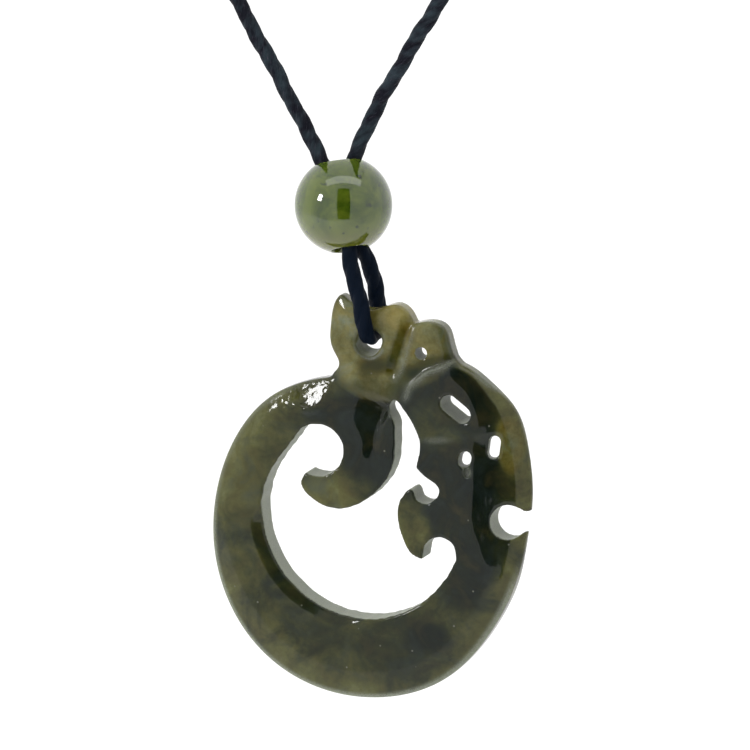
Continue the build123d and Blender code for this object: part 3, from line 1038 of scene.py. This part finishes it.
# %% Numbers, noise and placed groups
def worked(tree, operation, *values):
    """The result of a math node for numbers or sockets."""
    return add_node(tree, "ShaderNodeMath", dict(enumerate(values)), operation=operation).outputs[0]


def remapped(tree, value, low, high, to_low=0.0, to_high=1.0):
    """A value moved evenly from the range low to high into another range, and held inside it."""
    ends = {1: low, 2: high, 3: to_low, 4: to_high}
    return add_node(tree, "ShaderNodeMapRange", {0: value, **ends}).outputs[0]


def in_millimetres(tree, place):
    """A place in metres as millimetres, so that a noise's scale is per millimetre."""
    return add_node(tree, "ShaderNodeVectorMath", {0: place, 3: 1 / MM}, operation="SCALE").outputs[0]


def noise(tree, place, scale, detail, roughness=0.5, distortion=0.0):
    """A noise through the solid that stays round 0.5."""
    return add_node(tree, "ShaderNodeTexNoise", {
        "Vector": place, "Scale": scale, "Detail": detail, "Roughness": roughness, "Distortion": distortion,
    }).outputs["Fac"]


def stored(tree, name, output="Fac"):
    """A number or a place that the mesh holds for each point."""
    return add_node(tree, "ShaderNodeAttribute", attribute_name=name).outputs[output]


def placed(tree, group, place, **values):
    """A node group placed in a material, with its own values."""
    node = add_node(tree, "ShaderNodeGroup", node_tree=group)
    tree.links.new(place, node.inputs["Place"])
    for name, value in values.items():
        node.inputs[name].default_value = value
    return node


# %% [markdown]
# ## Jade
# Nephrite is a felt of tiny fibres: light goes in a little way and comes back green. Clouds of lighter and
# darker green, a few dark specks, and a high polish with the finest scratches make the look. A flat pattern
# would stretch on the walls of the holes, so the clouds are noise through the whole stone, read at Object
# coordinates. Clouds and polish serve both the bead and the carving, so each is a node group.

# %% Clouds of the stone
clouds, clouds_in, clouds_out = new_group(
    "stone_clouds", {"Place": None, "Size": 4.0, "Wisp": 0.5}, ["Broad", "Fine", "Specks", "Flecks"]
)
clouds_place = in_millimetres(clouds, clouds_in.outputs["Place"])
clouds_scale = worked(clouds, "DIVIDE", 1.0, clouds_in.outputs["Size"])
broad = noise(clouds, clouds_place, clouds_scale, 4.0, 0.6, clouds_in.outputs["Wisp"])
fine = noise(clouds, clouds_place, 1.3, 4.0, 0.7)
specks = remapped(clouds, noise(clouds, clouds_place, 1.1, 1.0, 0.4), 0.66, 0.74)
cells = add_node(clouds, "ShaderNodeTexVoronoi", {"Vector": clouds_place, "Scale": 0.42, "Randomness": 1.0})
flecks = remapped(clouds, cells.outputs["Distance"], 0.055, 0.01)
for output, value in (("Broad", broad), ("Fine", fine), ("Specks", specks), ("Flecks", flecks)):
    clouds.links.new(value, clouds_out.inputs[output])
print(clouds.name, "has", len(clouds.nodes), "nodes")

# %% Polish, worn places and hammered places
# Heights in millimetres: long waves of the hand polish, fine grain, worn grain, and dents where hammered.
wave_height = 0.035
grain_height = 0.0006
worn_height = 0.03
dent_height = 0.16
worn_roughness = 0.55

polish, polish_in, polish_out = new_group(
    "stone_polish", {"Place": None, "Smooth": 0.06, "Worn": 0.0, "Hammered": 0.0},
    ["Roughness", "Height", "Grain"],
)
polish_place = in_millimetres(polish, polish_in.outputs["Place"])
waves = noise(polish, polish_place, 0.6, 2.0)
grain = noise(polish, polish_place, 7.0, 3.0, 0.7)
dents = noise(polish, polish_place, 1.5, 1.0)
worn_grain = remapped(polish, grain, 0.3, 0.7, 0.6, 1.2)
worn_here = worked(polish, "MULTIPLY", worn_grain, polish_in.outputs["Worn"])
rough = remapped(polish, worn_here, 0.0, 1.0, polish_in.outputs["Smooth"], worn_roughness)
marks = worked(polish, "MULTIPLY", waves, wave_height)
grain_share = worked(polish, "MULTIPLY_ADD", polish_in.outputs["Worn"], worn_height, grain_height)
marks = worked(polish, "MULTIPLY_ADD", grain, grain_share, marks)
dent_share = worked(polish, "MULTIPLY", polish_in.outputs["Hammered"], dent_height)
marks = worked(polish, "MULTIPLY_ADD", dents, dent_share, marks)
for output, value in (("Roughness", rough), ("Height", marks), ("Grain", grain)):
    polish.links.new(value, polish_out.inputs[output])
print(polish.name, "has", len(polish.nodes), "nodes")

# %% [markdown]
# ## Where the carving is dark, golden or worn, and where light is painted
# The stone's colour is the carver's first choice: the head is cut from nearly black jade, the crest from a
# warm golden part and the ring from clouded olive. Noise alone would put these places anywhere, and a
# painted picture would need an unwrapped stone. So each row below is a soft ellipse on the carving's plane
# that makes the stone lighter or darker there. A second set says where it is warm, and masks from the relief
# say which places are sawn, worn or hammered. Other masks paint light: a light rim on the ring's edge, a
# lighter flat rim on the head, a darker ground facet, and highlights on a few rims and ridges. All are
# worked out per point, for the material to read.

# %% Colour areas
# Each row: middle, reach both ways, turn in degrees, softness of the border, how much lighter.
BASE_TONE = 0.33
TONES = [
    ((-14.0, -14.5), (3.6, 8.0), 8, 0.6, 0.17), ((-11.5, -8.0), (3.0, 1.6), 45, 0.6, 0.04),
    ((-13.5, -19.0), (1.8, 1.1), 0, 0.7, -0.12), ((-9.2, -32.2), (4.2, 1.7), -35, 0.6, 0.28),
    ((-2.5, -34.6), (4.0, 1.2), 0, 0.6, -0.03), ((-3.0, -31.0), (4.0, 1.4), -5, 0.6, -0.11),
    ((6.6, -30.2), (2.3, 1.7), 10, 0.6, -0.24), ((4.0, -31.0), (5.0, 2.6), 10, 0.6, -0.03),
    ((11.2, -23.2), (2.8, 4.6), -12, 0.5, -0.30), ((11.5, -27.6), (2.8, 1.9), 35, 0.6, 0.12),
    ((-4.4, -7.2), (3.4, 1.7), 8, 0.6, -0.20), ((-7.5, -6.8), (1.8, 1.2), 20, 0.6, 0.10),
    ((0.2, -9.8), (4.2, 5.2), 0, 0.6, -0.34), ((-4.4, -15.8), (3.2, 2.3), -12, 0.8, 0.46),
    ((7.5, -12.0), (6.2, 9.5), 0, 0.3, -0.26), ((12.5, -16.0), (3.2, 9.0), 8, 0.3, -0.20),
    ((6.7, -8.0), (2.8, 2.2), -20, 0.5, 0.24), ((10.8, -9.2), (2.0, 1.0), 0, 0.5, 0.14),
    ((4.6, -18.9), (1.8, 2.8), 10, 0.5, 0.58), ((11.4, -4.6), (3.9, 2.2), -42, 0.35, -0.24),
    ((15.0, -9.8), (1.3, 2.8), 5, 0.4, 0.40), ((14.2, -23.4), (1.8, 2.6), -12, 0.5, 0.22),
    ((13.4, -19.6), (1.2, 1.6), 0, 0.5, 0.18), ((13.6, -6.9), (1.2, 1.2), 0, 0.6, 0.10),
    ((-0.6, -15.2), (1.6, 1.0), 30, 0.6, 0.12), ((-0.8, -8.1), (1.6, 1.6), 0, 0.5, -0.12),
    ((14.2, -14.3), (1.4, 2.6), 5, 0.5, 0.12), ((11.0, -9.0), (2.6, 1.2), -10, 0.6, 0.08),
]
CREST_TONES = [
    ((-2.8, 3.0), (1.6, 2.2), 15, 0.5, 0.12), ((2.6, 3.2), (1.7, 1.5), 0, 0.5, 0.24),
    ((0.6, -2.3), (1.8, 0.9), 10, 0.7, -0.50), ((3.0, -0.3), (2.8, 0.6), 72, 0.5, -0.30),
    ((7.5, 1.0), (1.1, 1.3), 0, 0.5, -0.13), ((6.6, -2.0), (2.6, 1.0), 15, 0.5, -0.42),
    ((0.2, -4.5), (3.2, 1.1), -18, 0.5, -0.26), ((4.0, -4.0), (1.6, 1.6), 0, 0.5, -0.32),
    ((-3.4, 0.4), (0.9, 2.0), 0, 0.5, -0.06), ((-2.6, -3.3), (1.4, 1.1), 0, 0.5, 0.30),
    ((15.0, -9.8), (2.5, 4.0), 5, 0.3, -0.17), ((5.9, -2.9), (2.2, 0.8), 18, 0.5, -0.12),
]
WARM = [
    ((1.6, 0.6), (6.8, 4.8), -8, 0.30, 1.0), ((15.0, -9.8), (1.3, 2.9), 5, 0.3, 0.9),
    ((-4.6, -15.9), (3.0, 2.0), -12, 0.6, 0.35), ((-14.0, -14.5), (3.0, 7.0), 8, 0.6, 0.30),
    ((0.0, -4.6), (3.4, 1.3), -15, 0.5, 0.6),
]
print(len(TONES) + len(CREST_TONES), "areas of tone,", len(WARM), "warm ones")


# %% Areas and streaks
def area(middle, reach, turn=0.0, soft=0.5):
    """1 inside an ellipse across and up on the plane, falling to 0 outside it."""
    du, dw = local[:, 0] - middle[0], local[:, 2] - middle[1]
    c, s = cos(radians(turn)), sin(radians(turn))
    gap = np.hypot((du * c + dw * s) / reach[0], (dw * c - du * s) / reach[1])
    return ramp(gap, 1 + soft, 1 - soft)


def lighter(rows):
    """The sum of the areas' amounts at every point."""
    return sum(amount * area(middle, reach, turn, soft) for middle, reach, turn, soft, amount in rows)


def sampled(values):
    """A map read at each of the mesh's points: the weighted mean of the four values round the point."""
    place = np.clip(points[:, [0, 2]], 0, np.array(values.shape) - 1.001)
    i, j = place.astype(int).T
    a, b = (place - place.astype(int)).T
    near = values[i, j] * (1 - a) + values[i + 1, j] * a
    far = values[i, j + 1] * (1 - a) + values[i + 1, j + 1] * a
    return near * (1 - b) + far * b


def streak(gap, middle, half):
    """1 on a line beside another line, falling to 0 at its half width."""
    return np.exp(-((sampled(gap) - middle) / half) ** 2)


# %% Tone and warmth
# How much lighter the painted light rim makes the ring's outer edge.
rim_light_share = 0.24
# How much darker the painted shade makes the ground facet.
facet_painted_shade = 0.12
darkest = 0.07
# The tone of the head's flat rim, a painted reflection.
head_rim_reflection_tone = 0.60
crest_base = 0.62

edge_gap = sampled(inset)
# Painted light: a band along the ring's outer edge is made lighter, a painted light rim.
painted_rim_light = ramp(edge_gap, 3.0, 0.5) * sampled(1 - above_step) * (1 - 0.8 * sampled(on_head))
# Painted shade: the ground facet of the opening is made darker.
tone = BASE_TONE + lighter(TONES) + rim_light_share * painted_rim_light - facet_painted_shade * sampled(ramp(facet, 0.0, 0.1))
tone = np.maximum(tone, darkest)
# Painted reflection: the flat rim of the head is made lighter than the dark side it borders on, but not at
# the notch's mouth.
head_rim_reflection = sampled(ramp(inset, rim_width + 0.05, rim_width - 0.1) * on_rim)
head_rim_reflection = head_rim_reflection * (1 - area((16.5, -17.8), (1.6, 1.2), 0, 0.4))
tone = tone + (np.maximum(tone, head_rim_reflection_tone) - tone) * head_rim_reflection
crest_tone = crest_base + lighter(CREST_TONES)
warm = np.clip(lighter(WARM), 0, 1)
print("tone from", tone.min().round(2), "to", tone.max().round(2))

# %% Sawn, scuffed and hammered places, with painted rim light and highlights
normals = np.empty(len(points) * 3, np.float32)
carving_piece.data.vertex_normals.foreach_get("vector", normals)
normals = normals.reshape(-1, 3)
on_front = ramp(-normals[:, 1], 0.1, 0.5)
# The walls of the openings are sawn. The ring's thin outer edge gets the same pale colour as painted rim
# light, most of all low down.
wall = ramp(np.abs(normals[:, 1]), 0.55, 0.2) * (1 - 0.95 * ramp(edge_gap, 0.9, 0.3))
ring_rim_light = ramp(edge_gap, 0.75, 0.15) * sampled((1 - above_step) * (1 - on_head)) * on_front
wall = np.maximum(wall, (0.3 + 0.55 * ramp(local[:, 2], -12.0, -26.0)) * ring_rim_light)
below_bore = ramp(local[:, 2], -0.1, -0.8)
# Painted highlight: a pale arc on the lower front rim of the bore.
bore_rim_highlight = np.exp(-((np.hypot(local[:, 0], local[:, 2]) - 1.62) / 0.17) ** 2) * below_bore * on_front
step_ends = sampled(ramp(step_way, 0.0, 0.12) * ramp(step_way, 1.0, 0.85))
groove_ends = sampled(ramp(groove_way, 0.0, 0.2) * ramp(groove_way, 1.0, 0.7))
# Scuffs and painted highlights: a scuffed band along the brow step that is partly the step's painted
# reflection, a painted highlight on the ridge beside the lobe groove and on the bore's lower rim, and four
# small scuffed places.
scuff_and_highlight = np.maximum.reduce([
    0.7 * streak(step_gap, 0.30, 0.38) * step_ends * on_front,
    0.5 * streak(groove_gap, 0.55, 0.32) * groove_ends * on_front,
    0.8 * bore_rim_highlight,
    0.8 * area((2.7, -6.9), (0.55, 0.85), 0, 0.4),
    0.7 * area((10.7, -12.75), (0.45, 0.5), 0, 0.5),
    0.35 * area((7.4, -9.6), (1.4, 0.35), 5, 0.6),
    0.7 * area((12.4, -3.2), (1.7, 0.45), -38, 0.5),
])
# The ring's shoulder is hammered, less so on the ground flat.
hammered = area((-6.2, -6.0), (3.1, 1.5), 20, 0.3) * (1 - 0.65 * area(flat_place, (1.9, 1.2), 12, 0.3))
masks = {
    "tone": tone, "crest_tone": crest_tone, "warm": warm,
    "wall": wall, "scuff_and_highlight": scuff_and_highlight, "hammered": hammered,
}
for name, values in masks.items():
    add_values(carving_piece, name, values)
print("stored", ", ".join(masks))

# %% Colours of the carving
STONE_COLOURS = [
    (0.0, (0.0010, 0.0032, 0.0030)), (0.25, (0.0150, 0.0182, 0.0068)), (0.5, (0.041, 0.042, 0.0125)),
    (0.75, (0.060, 0.062, 0.018)), (1.0, (0.085, 0.088, 0.034)),
]
CREST_COLOURS = [
    (0.0, (0.006, 0.011, 0.002)), (0.3, (0.036, 0.033, 0.004)), (0.6, (0.092, 0.086, 0.028)),
    (1.0, (0.165, 0.152, 0.062)),
]
SAWN_AND_RIM_LIGHT = (0.175, 0.190, 0.148)
FROSTED_AND_HIGHLIGHT = (0.088, 0.096, 0.074)
FLECK = (0.12, 0.12, 0.10)
SLATE_STONE = (0.014, 0.021, 0.021)
BROWN_STONE = (0.034, 0.027, 0.009)
PALE_TINT = (0.92, 1.14, 2.1)
AMBER_TINT = (0.97, 0.84, 0.50)


# %% Mottled values and drifting colours
def wandering(tree, mask, noise_value, spread):
    """A mask whose border wanders with a noise, while its 0 stays 0 and its 1 stays 1."""
    lifted = worked(tree, "MULTIPLY", mask, 1 + spread)
    moved = worked(tree, "MULTIPLY_ADD", noise_value, -spread, lifted)
    moved.node.use_clamp = True
    return moved


def mottled(tree, value, noise_value, share):
    """A value made up to this share larger and smaller by a noise round 0.5."""
    product = worked(tree, "MULTIPLY", value, remapped(tree, noise_value, 0.3, 0.7, 1 - share, 1 + share))
    product.node.use_clamp = True
    return product


def coloured(tree, value, rows):
    """A colour ramp with the given places and colours."""
    ramp_node = add_node(tree, "ShaderNodeValToRGB", {0: value})
    stops = ramp_node.color_ramp.elements
    for number, (place, colour) in enumerate(rows):
        stop = stops[number] if number < 2 else stops.new(place)
        stop.position, stop.color = place, (*colour, 1)
    return ramp_node.outputs[0]


def drifting(tree, colour, noise_value, cool, hot, share, way="MIX"):
    """A colour that drifts toward a cool one where a noise is low and toward a hot one where it is high."""
    low = remapped(tree, noise_value, 0.5, 0.3, 0.0, share)
    high = remapped(tree, noise_value, 0.5, 0.7, 0.0, share)
    return mixed(tree, high, mixed(tree, low, colour, cool, way), hot, way)


# %% Body and crest of the carving
jade, jade_tree, jade_output = new_material("carved_jade")
jade_place = add_node(jade_tree, "ShaderNodeTexCoord").outputs["Object"]
jade_clouds = placed(jade_tree, clouds, jade_place, Size=5.0, Wisp=0.8)
broad_noise, fine_noise = jade_clouds.outputs["Broad"], jade_clouds.outputs["Fine"]
hue_noise = noise(jade_tree, jade_place, 1 / (3.2 * MM), 4.0, 0.6, 0.8)
body_tone = mottled(jade_tree, stored(jade_tree, "tone"), broad_noise, 0.6)
body_tone = mottled(jade_tree, body_tone, fine_noise, 0.2)
body_colour = coloured(jade_tree, body_tone, STONE_COLOURS)
body_colour = drifting(jade_tree, body_colour, hue_noise, SLATE_STONE, BROWN_STONE, 0.38)
crest_shade = mottled(jade_tree, stored(jade_tree, "crest_tone"), fine_noise, 0.22)
crest_colour = coloured(jade_tree, crest_shade, CREST_COLOURS)
crest_colour = drifting(jade_tree, crest_colour, hue_noise, PALE_TINT, AMBER_TINT, 1.0, "MULTIPLY")
warm_here = wandering(jade_tree, stored(jade_tree, "warm"), fine_noise, 0.5)
stone_colour = mixed(jade_tree, warm_here, body_colour, crest_colour)

# %% Jade of the carving
sawn_and_rim_light_here, scuff_and_highlight_here = stored(jade_tree, "wall"), stored(jade_tree, "scuff_and_highlight")
jade_polish = placed(jade_tree, polish, jade_place, Smooth=0.07)
jade_tree.links.new(worked(jade_tree, "MAXIMUM", sawn_and_rim_light_here, scuff_and_highlight_here), jade_polish.inputs["Worn"])
jade_tree.links.new(stored(jade_tree, "hammered"), jade_polish.inputs["Hammered"])
grain_noise = jade_polish.outputs["Grain"]
# The pale colour of the sawn walls, and the painted rim light on the ring's thin outer edge.
sawn_and_rim_light_share = mottled(jade_tree, worked(jade_tree, "MULTIPLY", sawn_and_rim_light_here, 0.95), grain_noise, 0.6)
stone_colour = mixed(jade_tree, sawn_and_rim_light_share, stone_colour, SAWN_AND_RIM_LIGHT)
# Scuffs and painted highlights take a pale frosted colour.
stone_colour = mixed(jade_tree, mottled(jade_tree, scuff_and_highlight_here, grain_noise, 0.6), stone_colour, FROSTED_AND_HIGHLIGHT)
stone_colour = mixed(jade_tree, jade_clouds.outputs["Flecks"], stone_colour, FLECK)
jade_bump = add_node(jade_tree, "ShaderNodeBump", {
    "Strength": 1.0, "Distance": MM, "Height": jade_polish.outputs["Height"],
})
jade_shader = add_node(jade_tree, "ShaderNodeBsdfPrincipled", {
    "Base Color": stone_colour, "Roughness": jade_polish.outputs["Roughness"],
    "Normal": jade_bump.outputs[0], "IOR": 1.62, "Specular IOR Level": 0.18,
    "Subsurface Weight": 0.5, "Subsurface Radius": (0.8 * MM, 0.9 * MM, 0.4 * MM), "Subsurface Scale": 1.0,
})
jade_tree.links.new(jade_shader.outputs[0], jade_output.inputs[0])
print(jade.name, "has", len(jade_tree.nodes), "nodes")

# %% [markdown]
# ## Jade of the bead
# The bead is cut from a clearer, greener stone than the carving and polished all over. A glassy shader would
# let too much light through, so it is the same recipe with other colours: clouds between two greens, a
# warmer, lighter lower third that is painted light, a few dark specks, more light inside the stone and a
# stronger gloss.

# %% Jade of the bead
BEAD_GREEN = (0.024, 0.046, 0.0016)
BEAD_LIGHT = (0.064, 0.088, 0.006)
# The colour of the painted light in the bead's lower third.
BEAD_LOWER_PAINTED_LIGHT = (0.074, 0.084, 0.008)
BEAD_DEEP = (0.008, 0.020, 0.004)

bead_jade, bead_tree, bead_output = new_material("bead_jade")
bead_place = add_node(bead_tree, "ShaderNodeTexCoord").outputs["Object"]
bead_clouds = placed(bead_tree, clouds, bead_place, Size=4.5, Wisp=1.2)
bead_tone = remapped(bead_tree, bead_clouds.outputs["Broad"], 0.42, 0.62)
bead_colour = mixed(bead_tree, bead_tone, BEAD_GREEN, BEAD_LIGHT)
# Painted light: the lower third is made lighter and warmer.
bead_colour = mixed(bead_tree, stored(bead_tree, "low"), bead_colour, BEAD_LOWER_PAINTED_LIGHT)
bead_colour = mixed(bead_tree, bead_clouds.outputs["Specks"], bead_colour, BEAD_DEEP)
bead_polish = placed(bead_tree, polish, bead_place, Smooth=0.05)
bead_shader = add_node(bead_tree, "ShaderNodeBsdfPrincipled", {
    "Base Color": bead_colour, "Roughness": bead_polish.outputs["Roughness"],
    "IOR": 1.62, "Specular IOR Level": 0.56,
    "Subsurface Weight": 0.7, "Subsurface Radius": (1.0 * MM, 1.2 * MM, 0.5 * MM), "Subsurface Scale": 1.0,
})
bead_tree.links.new(bead_shader.outputs[0], bead_output.inputs[0])
print(bead_jade.name, "has", len(bead_tree.nodes), "nodes")

# %% [markdown]
# ## Waxed cord
# The wax gives a dull sheen, and the navy dye is uneven. Modelled fibres would be far too fine for a mesh,
# so they are a noise stretched along the yarn, which the cord's own yarn attribute carries round the twist,
# and the same noise lifts the surface a little.

# %% Waxed cord material
NAVY = (0.0050, 0.0056, 0.0095)
SLATE = (0.020, 0.030, 0.037)
PLUM = (0.054, 0.049, 0.066)
# The navy of the painted shade on the stretch below the bead.
SHADED_NAVY = (0.0012, 0.0040, 0.0102)
fibre_height = 0.14

wax, wax_tree, wax_output = new_material("waxed_cord")
yarn_place = stored(wax_tree, "yarn", "Vector")
stretch = add_node(wax_tree, "ShaderNodeMapping", {"Vector": yarn_place, "Scale": (3.2, 3.2, 0.5)})
fibres = noise(wax_tree, stretch.outputs[0], 3.0, 4.0, 0.65)
dye_tone = remapped(wax_tree, noise(wax_tree, yarn_place, 0.55, 3.0), 0.4, 0.65)
wax_colour = mixed(wax_tree, dye_tone, NAVY, SLATE)
wax_colour = mixed(wax_tree, remapped(wax_tree, fibres, 0.55, 0.75), wax_colour, PLUM)
# Painted shade: the stretch below the bead, where the two strands are pressed together, is made the deepest
# navy.
wax_colour = mixed(wax_tree, stored(wax_tree, "painted_shade_below_bead"), wax_colour, SHADED_NAVY)
wax_bump = add_node(wax_tree, "ShaderNodeBump", {
    "Strength": 1.0, "Distance": fibre_height * MM, "Height": fibres,
})
wax_shader = add_node(wax_tree, "ShaderNodeBsdfPrincipled", {
    "Base Color": wax_colour, "Roughness": remapped(wax_tree, fibres, 0.3, 0.7, 0.35, 0.6),
    "Normal": wax_bump.outputs[0], "IOR": 1.48, "Specular IOR Level": 0.045,
})
wax_tree.links.new(wax_shader.outputs[0], wax_output.inputs[0])
print(wax.name, "has", len(wax_tree.nodes), "nodes")

# %% [markdown]
# ## Dressing the frame
# In the imported model each piece is a plain solid on one of two bodies: the strung cord with its bead and
# knot, and the pendant that swings on it. Every surface made here stands in for one solid and rides on that
# solid's body.

# %% Each piece gets its material and rides on its body
DRESSED = [
    (cord_piece, wax, "cord", "strung", "cord"),
    (neck_piece, wax, "cord", "strung", "neck_cord"),
    (knot_piece, wax, "cord", "strung", "knot"),
    (bead_piece, bead_jade, "jade_bead", "strung", "bead"),
    (carving_piece, jade, "jade_carving", "pendant", "pendant"),
]
for piece, material, slot, body, node in DRESSED:
    piece.data.materials.append(material)
    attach(piece, body)
    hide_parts(node)
    print(piece.name, "stands in for", node, "and rides on", body)

# %% [markdown]
# ## Studio
# The photograph's background is plain white. A white room lights the stone from all round, so the jade shows
# a milky veil of reflection over its dark body. A black room with lamps would leave the stone too dark, so
# instead a dark card behind the camera is what the polished facets reflect where they look nearly black, and
# one small lamp makes the bright spots.

# %% Floor
floor_height = -262.0
floor_radius = 1500.0
# The floor reaches a little way to the front and far to the back, so the flat faces don't mirror it.
floor_front = 260.0
floor_sides = 96
floor_middle = (target[0], target[1] - floor_front + floor_radius, floor_height)
angle = np.linspace(0, 2 * pi, floor_sides, endpoint=False)
disc = np.stack([floor_radius * np.cos(angle), floor_radius * np.sin(angle), np.zeros(floor_sides)], axis=1)
floor = piece_of("floor", disc + floor_middle, [list(range(floor_sides))])
floor_paint, floor_tree, floor_output = new_material("floor_paint")
floor_shader = add_node(floor_tree, "ShaderNodeBsdfPrincipled", {
    "Base Color": (0.9, 0.9, 0.9, 1), "Roughness": 0.9, "Specular IOR Level": 0.0,
})
floor_tree.links.new(floor_shader.outputs[0], floor_output.inputs[0])
floor.data.materials.append(floor_paint)

# %% Dark card
# The card's reach to the sides, down and up, as angles seen from the pendant.
card_distance = 450.0
card_half = card_distance * tan(radians(15.5))
card_below = card_distance * tan(radians(33.0))
card_above = card_distance * tan(radians(40.0))

view_right = np.array([cos(view_azimuth), sin(view_azimuth), 0])
view_up = np.cross(view_right, -toward_camera)
card_middle = target + toward_camera * card_distance
card_shares = np.array([
    (-card_half, -card_below), (card_half, -card_below), (card_half, card_above), (-card_half, card_above),
])
card_corners = card_middle + card_shares[:, :1] * view_right + card_shares[:, 1:] * view_up
card = piece_of("dark_card", card_corners, [[0, 1, 2, 3]])
card_paint, card_tree, card_output = new_material("card_paint")
card_shader = add_node(card_tree, "ShaderNodeBsdfPrincipled", {
    "Base Color": (0.01, 0.01, 0.01, 1), "Roughness": 0.9, "Specular IOR Level": 0.0,
})
card_tree.links.new(card_shader.outputs[0], card_output.inputs[0])
card.data.materials.append(card_paint)
card.visible_camera = False
card.visible_shadow = False
card.visible_diffuse = False


# %% Lamps
def area_lamp(name, direction, distance, size, radiance):
    """A rectangular lamp that faces the pendant. Its power gives the wanted brightness of its face."""
    lamp = bpy.data.lights.new(name, "AREA")
    lamp.shape = "RECTANGLE"
    lamp.size, lamp.size_y = size[0] * MM, size[1] * MM
    lamp.energy = radiance * pi * lamp.size * lamp.size_y
    held = bpy.data.objects.new(name, lamp)
    bpy.context.scene.collection.objects.link(held)
    direction = unit(np.array(direction, float))
    held.location = Vector((target + direction * distance) * MM)
    held.rotation_mode = "QUATERNION"
    held.rotation_quaternion = Vector(direction).to_track_quat("Z", "Y")
    held.visible_camera = False
    print(name, "gives", round(lamp.energy, 2), "W")
    return held


area_lamp("small_lamp", direction=(-0.638, -0.670, 0.378), distance=500.0, size=(80.0, 105.0), radiance=45.0)
area_lamp("top_lamp", direction=(0.083, -0.254, 0.963), distance=500.0, size=(700.0, 170.0), radiance=1.8)

# %% [markdown]
# ## Room
# The studio is white all round and a little dimmer in front of the pendant, where the camera stands. Many
# lamps could light it, but a world whose strength changes smoothly from front to back gives less noise.

# %% Room
ROOM_BEHIND = 1.3
ROOM_FRONT = 1.15
room = bpy.data.worlds.new("white_room")
bpy.context.scene.world = room
room.use_nodes = True
room_tree = room.node_tree
room_direction = add_node(room_tree, "ShaderNodeTexCoord").outputs["Generated"]
room_depth = add_node(room_tree, "ShaderNodeSeparateXYZ", {0: room_direction}).outputs["Y"]
room_light = add_node(room_tree, "ShaderNodeMapRange", {
    0: room_depth, 1: -0.8, 2: 0.2, 3: ROOM_FRONT, 4: ROOM_BEHIND,
}, interpolation_type="SMOOTHSTEP")
room_tree.links.new(room_light.outputs[0], room_tree.nodes["Background"].inputs["Strength"])
room_tree.nodes["Background"].inputs["Color"].default_value = (1.0, 1.0, 1.0, 1)
bpy.context.scene.view_settings.view_transform = "Standard"
print("room is", ROOM_FRONT, "bright in front and", ROOM_BEHIND, "behind")
